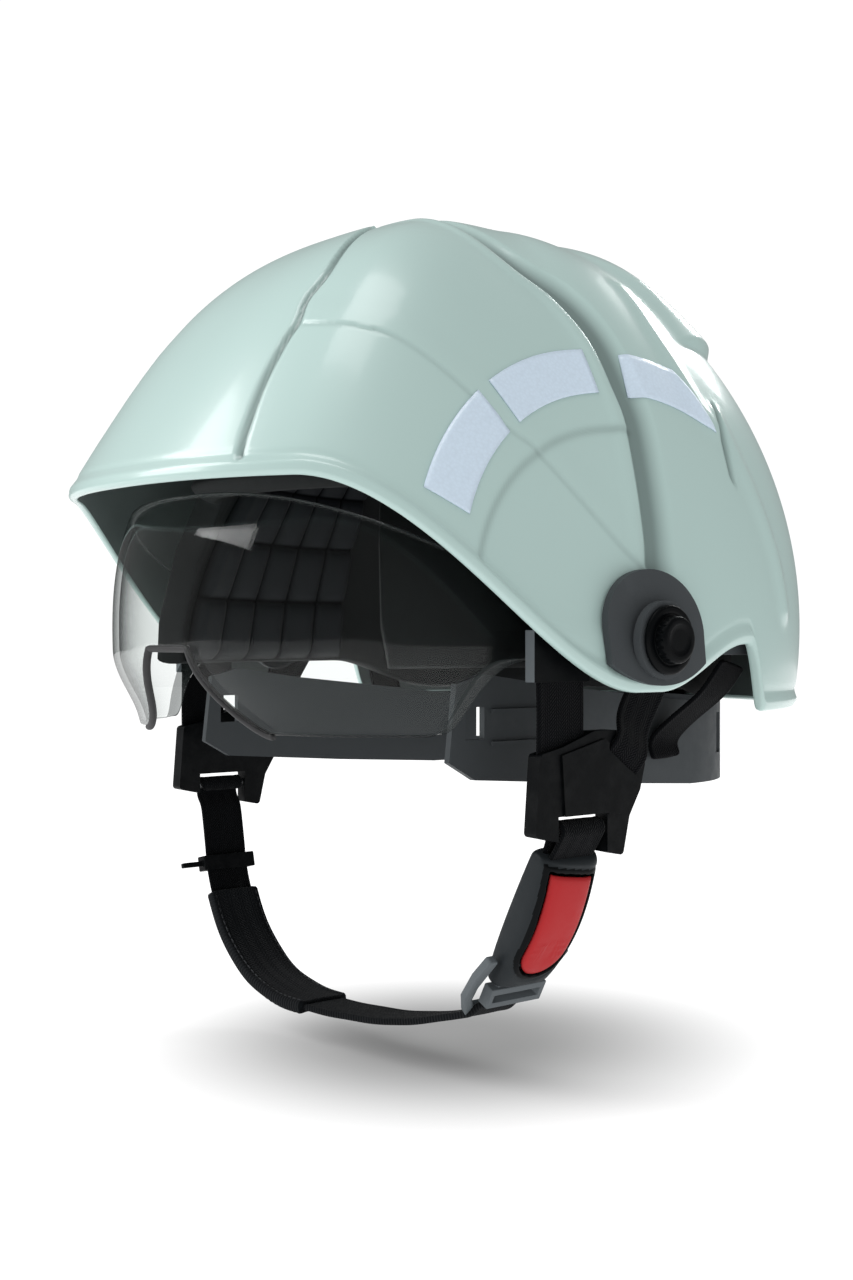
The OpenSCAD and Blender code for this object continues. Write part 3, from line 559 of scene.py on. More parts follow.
def curve_through(points, step):
    """Catmull-Rom curve through points, resampled evenly."""
    p = np.array(points, float)
    p = np.vstack([2 * p[0] - p[1], p, 2 * p[-1] - p[-2]])
    out = []
    for i in range(1, len(p) - 2):
        for u in np.linspace(0, 1, 12, endpoint=False):
            out.append(0.5 * (2 * p[i] + (p[i + 1] - p[i - 1]) * u
                              + (2 * p[i - 1] - 5 * p[i] + 4 * p[i + 1] - p[i + 2]) * u ** 2
                              + (3 * p[i] - p[i - 1] - 3 * p[i + 1] + p[i + 2]) * u ** 3))
    out = np.array(out + [p[-2]])
    length = run_length(out)
    even = np.linspace(0, length[-1], max(3, int(length[-1] / step) + 1))
    return np.stack([np.interp(even, length, out[:, k]) for k in range(out.shape[1])], -1)


def nearest(points, line):
    """Distance from each point to a polyline, and the point found on it."""
    best = np.full(len(points), 1e9)
    spot = np.zeros_like(points)
    for a, b in zip(line[:-1], line[1:]):
        ab = b - a
        k = np.clip((points - a) @ ab / (ab @ ab), 0, 1)
        q = a + k[:, None] * ab
        d = np.linalg.norm(points - q, axis=1)
        closer = d < best
        best[closer], spot[closer] = d[closer], q[closer]
    return best, spot


wedge_line, groove_line = curve_through(WEDGE, 3), curve_through(GROOVE, 3)
crease_line, slit_line = curve_through(CREASE, 3), curve_through(REAR_SLIT, 3)
ridge_lines = [curve_through(SIDE_RIDGE, 3), curve_through(REAR_RIDGE, 3)]
ARC_R = 67.8


def relief(points):
    """Height of the moulded relief above the plain form in millimetres, and how much painted shade falls in
    its seams.
    """
    p = points.reshape(-1, 3).copy()
    p[:, 0] = np.abs(p[:, 0])
    # seam gathers painted shade for the wedge line, channel, crease, ear arc and slit
    height, seam = np.zeros(len(p)), np.zeros(len(p))
    # raised front wedge with a fine line at its foot
    d, q = nearest(p, wedge_line)
    inside = np.where(p[:, 0] < q[:, 0], -d, d)
    inside = np.where(p[:, 1] > -34, 40, inside)
    height += 1.0 * (1 - ramp(inside, -1.0, 0.8)) - 0.7 * bell(inside, 0.9, 0.8)
    seam += 0.6 * bell(inside, 0.8, 0.9)
    # broad coronal channel with a steep front wall
    d, q = nearest(p, groove_line)
    across = np.where(p[:, 1] < q[:, 1], -d, d)
    fade = 0.75 + 0.25 * ramp(p[:, 0], 4, 45)
    floor = ramp(across, -6.4, -3.6) * (1 - ramp(across, 1.5, 7.5))
    height -= 2.1 * floor * fade
    seam += 0.72 * fade * ramp(across, -6.2, -4.6) * (1 - ramp(across, -1.0, 6.5))
    height += 0.7 * bell(across, -8.6, 2.4)
    # sharp crease from the wedge to the pivot
    d, q = nearest(p, crease_line)
    below = np.where(p[:, 2] < q[:, 2], d, -d)
    beyond = ramp(inside, 0.5, 4)
    height += beyond * (0.35 * (1 - ramp(below, -0.9, 0.9)) * (1 - ramp(-below, 4, 14))
                        - 0.25 * bell(below, 0.6, 0.9))
    seam += 0.14 * beyond * bell(below, 0.6, 1.0)
    # ear panel, a step down inside an arc round the pivot
    y, z = PIVOT[1] - p[:, 1], p[:, 2] - PIVOT[2]
    radius, angle = np.hypot(y, z), np.degrees(np.arctan2(z, y))
    arc = ARC_R + 0.07 * np.clip(angle - 60, 0, 60)
    ahead = ramp(98 - angle, 0, 5) * (1 - ramp(-angle, -20, 0))
    height -= 0.8 * (1 - ramp(radius, arc - 1.8, arc)) * ahead
    seam += 0.3 * np.exp(-((radius - arc + 1.2) / 1.2) ** 2) * ahead
    # raised rear panel with a stepped lower edge and a fin down its side
    bearing = from_front(np.degrees(np.arctan2(p[:, 0], -p[:, 1])))
    height += 4.0 * ramp(p[:, 1], 20, 40) * ramp(p[:, 2], 52, 56) * ramp(bearing, 112, 124)
    for line in ridge_lines:
        d, _ = nearest(p, line)
        height += 1.3 * bell(d, 0, 4.0)
    d, _ = nearest(p, slit_line)
    height -= 1.3 * bell(d, 0, 1.1)
    seam += 0.7 * bell(d, 0, 1.1)
    return height.reshape(points.shape[:-1]), np.clip(seam, 0, 1).reshape(points.shape[:-1])


def shell_skin(t, s, lift):
    """Points a lift in millimetres above the shell's relief."""
    p, n, _ = dome_frame(SHELL, t, s)
    return p + n * (relief(p)[0] + lift)[..., None]


def build_shell():
    """Shell: relief outside, a rolled brim with a bead, and a plain inside."""
    cols, rows, wall = ((880, 260, 3.0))
    t = full_turn(cols)
    trim = share_at(SHELL, t, shell_trim_height(t), 0.6, 1.05)
    share = np.linspace(0.012, 1, rows)[:, None] * trim[None, :]
    tt = np.broadcast_to(t, share.shape)
    p, n, down = dome_frame(SHELL, tt, share)
    drop = np.linalg.norm(p - p[-1][None], axis=-1)
    bead = 1.1 * bell(drop, 1.6, 1.7) - 0.35 * bell(drop, 5.4, 1.3)
    height, seam = relief(p)
    outer = p + n * (height * ramp(drop, 1.5, 5) + bead)[..., None]
    turn = np.radians(np.linspace(0, 180, 9)[1:-1])
    lip_n, lip_down = n[-1], down[-1]
    mid = (outer[-1] + p[-1] - wall * lip_n) / 2
    half = np.linalg.norm(outer[-1] - mid, axis=-1)[:, None]
    lip = np.stack([mid + half * (math.cos(a) * lip_n + 0.8 * math.sin(a) * lip_down) for a in turn])
    inner_rows = 26
    share = np.linspace(1, 0.012, inner_rows)[:, None] * trim[None, :]
    p, n, _ = dome_frame(SHELL, np.broadcast_to(t, share.shape), share)
    inner = p - wall * n
    rows_all = np.concatenate([outer, lip, inner])
    verts = np.concatenate([rows_all.reshape(-1, 3), [[0, SHELL["shift"], SHELL["crown"]]],
                            [[0, SHELL["shift"], SHELL["crown"] - wall]]])
    count, split = len(rows_all), (rows + len(turn)) * cols
    obj = make("shell_body", verts, dome_faces(count, cols), [M["shell"], M["inside"]])
    # painted shade in the seams, faded out towards the brim
    shade_level = np.zeros(len(verts), np.float32)
    shade_level[:seam.size] = (seam * ramp(drop, 2, 6)).ravel()
    obj.data.attributes.new("seam", "FLOAT", "POINT").data.foreach_set("value", shade_level)
    # the inside faces take the shell colour darkened as painted shade
    index = np.zeros(len(obj.data.polygons), np.int32)
    index[split:count * cols - cols] = 1
    index[-cols:] = 1
    obj.data.polygons.foreach_set("material_index", index)
    place(obj, "helmet", "shell_paint", "shell")


def polar_spot(radius, angle):
    """Angle and share of the shell point at a radius and bearing round the pivot axis, seen from the side."""
    def error(q):
        p = dome(SHELL, q[0], q[1])
        y, z = PIVOT[1] - p[1], p[2] - PIVOT[2]
        return np.array([math.hypot(y, z) - radius, math.degrees(math.atan2(z, y)) - angle])
    q = np.array([40 + 0.56 * angle, 0.78 - 0.0026 * angle])
    for _ in range(16):
        e = error(q)
        jac = np.stack([(error(q + [0.5, 0]) - e) / 0.5, (error(q + [0, 0.01]) - e) / 0.01], 1)
        q = q - 0.8 * np.linalg.solve(jac, e)
    return q


STRIP_ARCS = [(31, 57.5, 31, 57.5), (61.5, 89, 61.5, 89), (98, 111, 98, 124)]
STRIP_INNER, STRIP_WIDTH, STRIP_GROWTH = 73.2, 15, 0.13
STRIP_FACE, STRIP_BACK = 0.45, 0.08


def build_strips():
    """Three film strips a side, laid over the relief in arcs round the pivot."""
    across, along = ((9, 30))
    for index, (a0, a1, b0, b1) in enumerate(STRIP_ARCS):
        spots = np.zeros((across + 1, along + 1, 2))
        for i in range(across + 1):
            u = i / across
            for j in range(along + 1):
                v = j / along
                angle = blend(b0, b1, v) * (1 - u) + blend(a0, a1, v) * u
                spots[i, j] = polar_spot(STRIP_INNER + STRIP_WIDTH * u + STRIP_GROWTH * (angle - 31), angle)
        for side, sign in SIDES:
            top, low = (shell_skin(spots[..., 0], spots[..., 1], lift) for lift in (STRIP_FACE, STRIP_BACK))
            if sign < 0:
                top, low = (x[:, ::-1] * [-1, 1, 1] for x in (top, low))
            obj = sheet_pair(f"reflective_strip_{side}_{index + 1}", top, low, M["film"])
            place(obj, "helmet", "reflective_film", "reflective_strips")


# ---------- liner and pads
def build_liner():
    """Foam liner with a rounded rim, cut higher over the face."""
    cols, rows = 240, 60
    t = full_turn(cols)
    a = from_front(t)
    trim = np.where(a > 39.5, 1.0, share_at(LINER, t, 4 - 62 * ramp(a, 34, 39), 0.4, 1.0))
    share = np.linspace(0.02, 1, rows)[:, None] * trim
    p, n, down = dome_frame(LINER, np.broadcast_to(t, share.shape), share)
    lip = np.stack([p[-1] - n[-1] * LINER_WALL / 2 * (1 - math.cos(k)) + down[-1] * 1.5 * math.sin(k)
                    for k in np.radians((30, 60, 90, 120, 150))])
    inner = (p - n * LINER_WALL)[::-1]
    every = np.concatenate([p, lip, inner])
    verts = np.concatenate([every.reshape(-1, 3), [[0, LINER["shift"], LINER["crown"]],
                                                  [0, LINER["shift"], LINER["crown"] - LINER_WALL]]])
    liner = make("foam_liner", verts, dome_faces(len(every), cols), M["foam"])
    place(liner, "helmet", "foam_liner", "impact_liner")


def pillow(u, v):
    """Crown of a stuffed tile: 1 in the middle, 0 along its seams."""
    return (1 - np.abs(2 * u - 1) ** 3.0) * (1 - np.abs(2 * v - 1) ** 3.0)


def patch(t_span, s_span, cols, rows):
    """A grid over a patch of a dome: angles and shares, and how far along and down the patch they are."""
    v, u = np.meshgrid(np.linspace(0, 1, rows), np.linspace(0, 1, cols), indexing="ij")
    return blend(*t_span, u), blend(*s_span, v), u, v


def temple_pad(side, sign):
    """A quilted pad on the inside of the liner: sewn channels between stuffed tiles."""
    tiles_along, tiles_down, sunk, proud, swell = 5, 5, LINER_WALL + 0.4, LINER_WALL + 3.4, 2.4
    per = 14
    cols, rows = tiles_along * per + 1, tiles_down * per + 1
    t, s, u, v = patch((sign * 40, sign * 94), (0.42, 1.0), cols, rows)
    p, n, _ = dome_frame(LINER, t, s)
    puff = np.clip(pillow((u * tiles_along) % 1.0, (v * tiles_down) % 1.0), 0, 1) ** 0.45
    edge = np.minimum.reduce([u * (cols - 1), (1 - u) * (cols - 1), v * (rows - 1), (1 - v) * (rows - 1)])
    face = p - n * (blend(sunk, proud, ramp(edge, -0.5, 2.5)) + swell * puff)[..., None]
    obj = sheet_pair(f"temple_pad_{side}", p - n * sunk, face, M["pad"])
    # the channels between tiles, marked for painted shade in the pad cloth
    level = np.zeros(2 * rows * cols, np.float32)
    level[rows * cols:] = (1 - puff).ravel()
    obj.data.attributes.new("seam", "FLOAT", "POINT").data.foreach_set("value", level)
    place(obj, "helmet", "pad_cloth", "temple_pads")


def stuff(obj):
    """Inflates a pad as cloth, caps how far it may move, and leaves the result in the mesh."""
    voxel, pressure, cap = 4.0, 4.0, 4.0
    bpy.context.view_layer.objects.active = obj
    remesh = modifier(obj, "REMESH", mode="VOXEL", voxel_size=voxel * MM)
    bpy.context.view_layer.update()
    bpy.ops.object.select_all(action="DESELECT")
    obj.select_set(True)
    bpy.ops.object.modifier_apply(modifier=remesh.name)
    start = np.zeros(len(obj.data.vertices) * 3)
    obj.data.vertices.foreach_get("co", start)
    cloth = modifier(obj, "CLOTH")
    cloth.settings.use_pressure = True
    cloth.settings.uniform_pressure_force = pressure
    cloth.settings.tension_stiffness = 40
    cloth.settings.compression_stiffness = 40
    cloth.settings.bending_stiffness = 2
    cloth.settings.quality = 6
    cloth.settings.effector_weights.gravity = 0
    cloth.point_cache.frame_start, cloth.point_cache.frame_end = 1, 20
    scene = bpy.context.scene
    for f in range(1, 21):
        scene.frame_set(f)
    depsgraph = bpy.context.evaluated_depsgraph_get()
    result = obj.evaluated_get(depsgraph).to_mesh()
    end = np.zeros(len(result.vertices) * 3)
    result.vertices.foreach_get("co", end)
    obj.evaluated_get(depsgraph).to_mesh_clear()
    obj.modifiers.remove(cloth)
    scene.frame_set(1)
    move = (end - start).reshape(-1, 3)
    size = np.linalg.norm(move, axis=1, keepdims=True)
    move *= np.minimum(1, cap * MM / np.maximum(size, 1e-9))
    obj.data.vertices.foreach_set("co", (start.reshape(-1, 3) + move).ravel())
    obj.data.update()
    obj.data.polygons.foreach_set("use_smooth", [True] * len(obj.data.polygons))
    modifier(obj, "SUBSURF", levels=1, render_levels=1)


def stuffed(obj, replaced):
    stuff(obj)
    place(obj, "helmet", "pad_cloth", replaced)


PAD_BACK, PAD_FACE = LINER_WALL + 1.4, LINER_WALL + 4.6


def build_pads():
    for side, sign in SIDES:
        temple_pad(side, sign)
    t, s, _, _ = patch((-29, 29), (0.51, 0.68), 28, 16)
    p, n, _ = dome_frame(LINER, t, s)
    stuffed(sheet_pair("brow_pad_cloth", p - n * PAD_BACK, p - n * PAD_FACE, M["pad"]), "brow_pad")
    cols = 40
    t = full_turn(cols)
    rings = [dome_frame(LINER, t, np.full(cols, s)) for s in (0.06, 0.15, 0.24, 0.33)]
    low = [p - n * PAD_BACK for p, n, _ in rings]
    high = [p - n * PAD_FACE for p, n, _ in rings]
    every = np.array(low + high[::-1])
    verts = np.concatenate([every.reshape(-1, 3), [every[0].mean(0), every[-1].mean(0)]])
    stuffed(make("crown_pad_cloth", verts, dome_faces(len(every), cols), M["pad"]), "crown_pad")


# ---------- eye shield
LENS_HALF, LENS_WALL, LENS_POWER = 94.0, 2.2, 2.6
LENS_TOP, NOSE_ARCH, NOSE_FLARE = 25.0, 12.0, 32.0


def lens_reach(a):
    return 110.0 + 3 * ramp(a, -2, 26) - 7 * ramp(-a, 2, 17)


def lens_low_edge(x):
    """Height of the lens's lower edge under the pivot: a nose arch in the middle, raised corners."""
    w = np.abs(x) / LENS_HALF
    v = np.clip((np.abs(x) - NOSE_ARCH) / NOSE_FLARE, 0, 1)
    nose = -2 - 31 * (1 - (1 - v) ** 2.2)
    return np.maximum(-32 + 26 * ramp(w, 0.84, 0.97), nose)


def lens_point(c, v, depth):
    """c: bearing round the lens in degrees; v: 0 at the lower edge, 1 at the upper; depth: into the wall."""
    c, v, depth = np.broadcast_arrays(np.asarray(c, float), v, depth)
    sx = np.abs(np.sin(np.radians(c))) ** (2 / LENS_POWER) * np.sign(c)
    cx = np.cos(np.radians(c)) ** (2 / LENS_POWER)
    x = (LENS_HALF - depth) * sx
    low = np.degrees(np.arcsin(np.clip(lens_low_edge(x) / np.maximum(30, cx * 110.0), -0.9, 0.9)))
    a = blend(low, LENS_TOP, v)
    reach = (lens_reach(a) - depth) * cx
    a = np.radians(a)
    return np.stack([x, PIVOT[1] - reach * np.cos(a), PIVOT[2] + reach * np.sin(a)], -1)


def build_lens():
    cols, rows = ((260, 70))
    v, c = np.meshgrid(np.linspace(0, 1, rows), np.linspace(-84, 84, cols), indexing="ij")
    outer, inner = lens_point(c, v, 0.0), lens_point(c, v, LENS_WALL)
    obj = sheet_pair("eye_shield_lens", outer, inner, [M["lens"], M["lens_rim"]], rim_slot=1)
    place(obj, "shield", "clear_lens", "lens")
    # soft edging round the nose cut-out: a slotted bead
    c = np.linspace(-18.6, 18.6, 90)
    centre = (lens_point(c, 0.0, 0.0) + lens_point(c, 0.0, LENS_WALL)) / 2 + [0, 0, -0.9]
    place(tube("nose_edging", centre, 1.35, 0.85, M["rubber"]), "shield", "soft_rubber", "nose_guard")


def tube(name, line, radius, flat, material):
    """A bead along a line of points in millimetres, flattened across."""
    sides = 14
    tangent = unit(np.gradient(line, axis=0))
    verts = []
    last = np.array([0, 0, 1.0])
    for p, t in zip(line, tangent):
        side = unit(np.cross(t, last))
        last = np.cross(side, t)
        for k in range(sides):
            a = 2 * math.pi * k / sides
            verts.append(p + radius * (math.cos(a) * side + flat * math.sin(a) * last))
    return make(name, verts, tube_faces(len(line), sides), material)


# ---------- webbing
WEB_T = 1.6


def ribbon(name, path, across, width, body, replaced, thick=WEB_T, cloth="web", slot="webbing", wobble=0.15,
           step=1.5):
    """Webbing swept along a path in millimetres, with rolled selvedges and laid-out weave coordinates."""
    line = curve_through(path, step)
    tangent = unit(np.gradient(line, axis=0))
    normal = unit(np.cross(tangent, np.broadcast_to(np.asarray(across, float), line.shape)))
    side = np.cross(normal, tangent)
    h, w = thick / 2, width / 2
    half = [(-w, 0.0), (-w + 0.25, 0.8 * h), (-w + 0.8, 1.12 * h), (-w + 1.6, 1.0 * h), (-w + 2.2, 0.86 * h),
            (-w * 0.5, 0.98 * h), (0, 1.02 * h), (w * 0.5, 0.98 * h), (w - 2.2, 0.86 * h), (w - 1.6, 1.0 * h),
            (w - 0.8, 1.12 * h), (w - 0.25, 0.8 * h), (w, 0.0)]
    section = half + [(a, -b) for a, b in half[-2:0:-1]]
    length = run_length(line)
    phase = [rng.uniform(0, 6.28) for _ in range(3)]
    verts, uv = [], []
    for i in range(len(line)):
        drift = wobble * math.sin(length[i] / 9 + phase[0])
        drift += wobble * 0.6 * math.sin(length[i] / 4.1 + phase[1])
        for a, b in section:
            curl = 0.25 * wobble * math.cos(length[i] / 6 + phase[2]) * a / w
            verts.append(line[i] + side[i] * a + normal[i] * (b + drift + curl))
            uv.append((length[i], a))
    obj = make(name, verts, tube_faces(len(line), len(section)), M[cloth], uv)
    modifier(obj, "SUBSURF", levels=1, render_levels=1)
    place(obj, body, slot, replaced)
    return line, side, normal


def stitches(name, starts, body):
    """Rows of raised thread: short rounded bars. starts holds (point, direction, outward) in millimetres."""
    verts, faces, radius, length = [], [], 0.28, 2.4
    sides, rings = 6, [(-0.5, 0.35), (-0.32, 0.9), (0, 1.0), (0.32, 0.9), (0.5, 0.35)]
    for p, d, out in starts:
        d, out = unit(d), unit(out)
        cross = np.cross(d, out)
        base = len(verts)
        for along, size in rings:
            lift = radius * 0.5 * (1 - (2 * along) ** 2)
            for k in range(sides):
                a = 2 * math.pi * k / sides
                verts.append(p + d * along * length + out * (lift + radius * size * math.sin(a))
                             + cross * radius * size * math.cos(a))
        faces += tube_faces(len(rings), sides, base)
    place(make(name, verts, faces, M["thread"]), body, "webbing")


X, Y = np.eye(3)[:2]
CHIN_WEB = 19.0
REAR_TOP, REAR_FOOT = (5, -48), (-19, -88)


def side_straps():
    """Front and rear straps from the shell to the dividers."""
    low, high = box_mm("front_straps")
    web_y, web_w = (low[1] + high[1]) / 2, high[1] - low[1]
    face = box_mm("divider_left")[1][0]
    x = high[0] - WEB_T / 2
    run = np.array(REAR_TOP) - REAR_FOOT
    for side, sign in SIDES:
        path = [(sign * x, web_y, high[2] + 4), (sign * (x + 0.3), web_y, -70), (sign * x, web_y, -90)]
        ribbon(f"front_strap_{side}", path, Y, web_w, "helmet", "front_straps")
        # over the head of the divider and down into the roll sunk in its face
        path = [(sign * out, *(REAR_FOOT + run * share)) for share, out in (
            (1, x - 1), (0.6, x), (0.27, x + 0.2), (0.1, face), (0.02, face - 0.2), (-0.08, face - 2))]
        ribbon(f"rear_strap_{side}", path, unit(np.array([0, run[1], -run[0]])), 16, "helmet", "rear_straps")


def cradle_webs():
    """Webs that hang the nape cradle from the shell."""
    low, high = box_mm("cradle_straps")
    for side, sign in SIDES:
        top = np.array([sign * (high[0] - 1), high[1] - 8, high[2]])
        foot = np.array([sign * (box_mm("nape_cradle")[1][0] + 1.6), low[1] + 8, low[2] + 2])
        path = [top, top * 0.6 + foot * 0.4 + [sign * 1.5, 0, 2], foot + [0, 0, 8], foot]
        ribbon(f"cradle_strap_{side}", path, Y, 15, "helmet", "cradle_straps")


# ---------- dividers, hardware
def build_plates():
    """CAD nodes carried over as they are: a finished material and rounded moulded edges."""
    for node in ("divider_left", "divider_right"):
        soften(dress(node, M["black"]), 0.35)
    for node, look, width in (("front_strap_clips", "black", 0.6), ("rear_strap_clips", "slate", 0.6),
                              ("shield_arms", "charcoal", 0.4), ("nape_cradle", "slate", 0.5),
                              ("ratchet_cover", "charcoal", 0.8), ("ratchet_pinion", "charcoal", 0.1),
                              ("rack_left", "slate", 0.1), ("rack_right", "slate", 0.1),
                              ("tongue", "grey", 0.4), ("strap_adjuster", "grey", 0.8),
                              ("pivot_covers", "slate", 0.5), ("length_slider", "black", 0.6)):
        soften(dress(node, M[look]), width)
    mesh = nodes["front_strap_clips"].data
    mesh.materials.append(M["grey"])
    for face in mesh.polygons:
        face.material_index = int(face.normal.y < -0.9)
    for node in ("divider_bars", "arm_rivets", "pivot_shafts", "ratchet_cover_screws", "button_spring"):
        soften(dress(node, M["steel"]), 0.15, 2)


KNOB_FOOT = 119.9


def build_knobs():
    """The two ribbed shield knobs and the ratchet dial at the nape."""
    low, high = box_mm("pivot_knobs")
    radius, face = (high[2] - low[2]) / 2, high[0]
    deep = face - KNOB_FOOT
    cap = radius - 3.4
    profile = [(4.1, 0), (radius - 0.6, 0), (radius, 0.4), (radius, 1.3), (radius - 0.5, 1.75),
               (cap + 1.0, 1.8), (cap + 0.5, 1.5), (cap, 1.5), (cap, 2.2), (cap - 0.05, deep * 0.82),
               (cap - 0.5, deep * 0.95), (cap - 1.1, deep), (cap - 2.6, deep), (cap - 3.0, deep - 0.3),
               (0.4, deep - 0.3)]

    def ribs(a, r, h):
        return -0.35 * max(0.0, math.cos(20 * a)) ** 3 if cap - 0.2 < r < cap + 0.2 and 2.0 < h else 0.0
    for side, sign in SIDES:
        obj = lathe(f"pivot_knob_{side}", refine(profile), M["black"], X * sign,
                    [sign * KNOB_FOOT, PIVOT[1], PIVOT[2]], 192, ribs)
        place(obj, "shield", "black_plastic", "pivot_knobs")
    low, high = box_mm("ratchet_knob")
    radius, foot, deep = (high[2] - low[2]) / 2, low[1], high[1] - low[1]
    profile = [(3.1, 0), (radius - 1.5, 0), (radius - 0.4, 0.5), (radius, 1.6), (radius, 6.6),
               (radius - 0.6, 7.6), (radius - 1.8, 8.1), (radius - 5, 8.0), (radius - 5.8, 8.6),
               (radius - 6.2, deep - 0.5), (radius - 7, deep), (radius - 9.5, deep),
               (radius - 10.2, deep - 0.6), (0.4, deep - 0.9)]

    def grips(a, r, h):
        return -1.5 * (0.5 + 0.5 * math.cos(18 * a)) ** 2 if r > radius - 2 and h > 0.4 else 0.0
    obj = lathe("ratchet_dial", refine(profile), M["black"], Y, [RATCHET[0], foot, RATCHET[2]], 216, grips)
    place(obj, "ratchet", "black_plastic", "ratchet_knob")


# ---------- buckle
press = np.array(joint["button_press"]["axis"], float)
OUT = -unit(press)
DOWN = np.cross(OUT, Y)
DOWN = DOWN if DOWN[2] < 0 else -DOWN


def in_buckle(out, across, down):
    return BAR_L + OUT * out + Y * across + DOWN * down


HOUSE_TOP, HOUSE_LEN, HOUSE_HALF = 9.0, 49.0, 13.5
BUTTON_TOP, BUTTON_FOOT, BUTTON_HALF = 14.0, 52.0, 9.5
WELL_DEPTH, BAR_FOLD = 5.2, 2.6


def button_edge(across, down):
    """Signed distance-like value: negative inside the button's outline."""
    radius = BUTTON_HALF
    low = BUTTON_FOOT - radius
    straight = np.maximum(np.abs(across) - radius, BUTTON_TOP + 0.12 * across - down)
    round_end = np.hypot(across, np.maximum(down - low, 0)) - radius
    return np.maximum(straight, np.where(down > low, round_end, straight))


def rim_spots(obj):
    """Each face of a buckle piece as distances across, down and out in the buckle's own frame."""
    for face in obj.data.polygons:
        spot = np.array(face.center) / MM - BAR_L
        yield spot @ Y, spot @ DOWN, spot @ OUT


def carve(obj, corners):
    """Boolean difference with a box given by its eight corners in binary order.

    The box is wound inwards, so it takes nothing away; the faces of the piece come out turned outward.
    """
    faces = [(0, 1, 3, 2), (4, 6, 7, 5), (0, 4, 5, 1), (2, 3, 7, 6), (0, 2, 6, 4), (1, 5, 7, 3)]
    cutter = make("cutter", corners, faces, obj.data.materials[0])
    cut = modifier(obj, "BOOLEAN", operation="DIFFERENCE", solver="EXACT", object=cutter)
    bpy.context.view_layer.update()
    shape = bpy.data.meshes.new_from_object(obj.evaluated_get(bpy.context.evaluated_depsgraph_get()))
    obj.modifiers.remove(cut)
    obj.data = shape
    bpy.data.objects.remove(cutter)


def build_buckle():
    """Housing: a rounded case with a well for the button. It has no mouth for the latch tongue."""
    rings, around = ((120, 160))
    verts = []
    for i in range(rings):
        f = i / (rings - 1)
        down = HOUSE_TOP + HOUSE_LEN * f
        cap = min(1.0, math.sqrt(max(0.0, 1 - max(0.0, (0.05 - f) / 0.05) ** 2)) * 0.55 + 0.45,
                  math.sqrt(max(0.0, 1 - max(0.0, (f - 0.95) / 0.05) ** 2)) * 0.4 + 0.6)
        half_w = (HOUSE_HALF - 1.2 * (1 - f) ** 2 - 2.2 * f ** 4) * (0.9 + 0.1 * cap)
        half_t = (5.2 + 2.4 * math.sin(math.pi * min(1, f * 1.05)) ** 0.8) * cap
        bow = 1.6 * math.sin(math.pi * f) - 0.6
        for k in range(around):
            a = 2 * math.pi * k / around
            c, s = math.cos(a), math.sin(a)
            w = half_w * abs(s) ** (2 / 3.6) * math.copysign(1, s)
            o = half_t * abs(c) ** (2 / 3.0) * math.copysign(1, c) + bow
            if c > 0:
                well = button_edge(np.array(w), np.array(down))
                o -= WELL_DEPTH * float(1 - ramp(well, 0.25, 0.8))
                inset = float(ramp(half_w - abs(w), 0.2, 1.5))
                o -= 0.5 * math.exp(-((float(well) - 2.6) / 0.5) ** 2) * inset
            verts.append(in_buckle(o, w, down))
    obj = make("buckle_body", verts, tube_faces(rings, around), [M["charcoal"], M["black"]])
    for face, (across, down, out) in zip(obj.data.polygons, rim_spots(obj)):
        face.material_index = int(out > 0 and button_edge(np.array(across), np.array(down)) < 2.3)
    mouth_out, mouth_across, mouth_down = (-14, 1.4), (-9.3, 9.3), (38, 60)
    carve(obj, [in_buckle(o, w, d) for o in mouth_out for w in mouth_across for d in mouth_down])
    place(obj, "buckle", "charcoal_plastic", "buckle_housing")


def button_outline(around):
    """The button's edge as (across, down): round foot, straight sides and a slanted head."""
    radius, low, top = BUTTON_HALF - 0.35, BUTTON_FOOT - BUTTON_HALF, BUTTON_TOP + 0.5
    outline = []
    for k in range(around):
        u = k / around
        side = (u - 0.5) / 0.5 * 3
        if u < 0.5:
            a = math.pi * (u / 0.5)
            outline.append((radius * math.cos(a), low + radius * math.sin(a)))
        elif side < 1:
            outline.append((-radius, low + (top - 0.12 * radius - low) * side))
        elif side < 2:
            across = -radius + 2 * radius * (side - 1)
            outline.append((across, top + 0.12 * across))
        else:
            outline.append((radius, top + 0.12 * radius + (low - top - 0.12 * radius) * (side - 2)))
    return np.array(outline)


def buckle_height(spots):
    """Height of the buckle's crown above its mid plane at (across, down) spots."""
    f = np.clip((spots[:, 1] - HOUSE_TOP) / HOUSE_LEN, 0, 1)
    half_w = HOUSE_HALF - 1.2 * (1 - f) ** 2 - 2.2 * f ** 4
    half_t = 5.2 + 2.4 * np.sin(np.pi * np.clip(f * 1.05, 0, 1)) ** 0.8
    crown = (1 - np.clip(np.abs(spots[:, 0]) / half_w, 0, 1) ** 3.0) ** (1 / 3.0)
    return half_t * crown + 1.6 * np.sin(np.pi * f) - 0.6


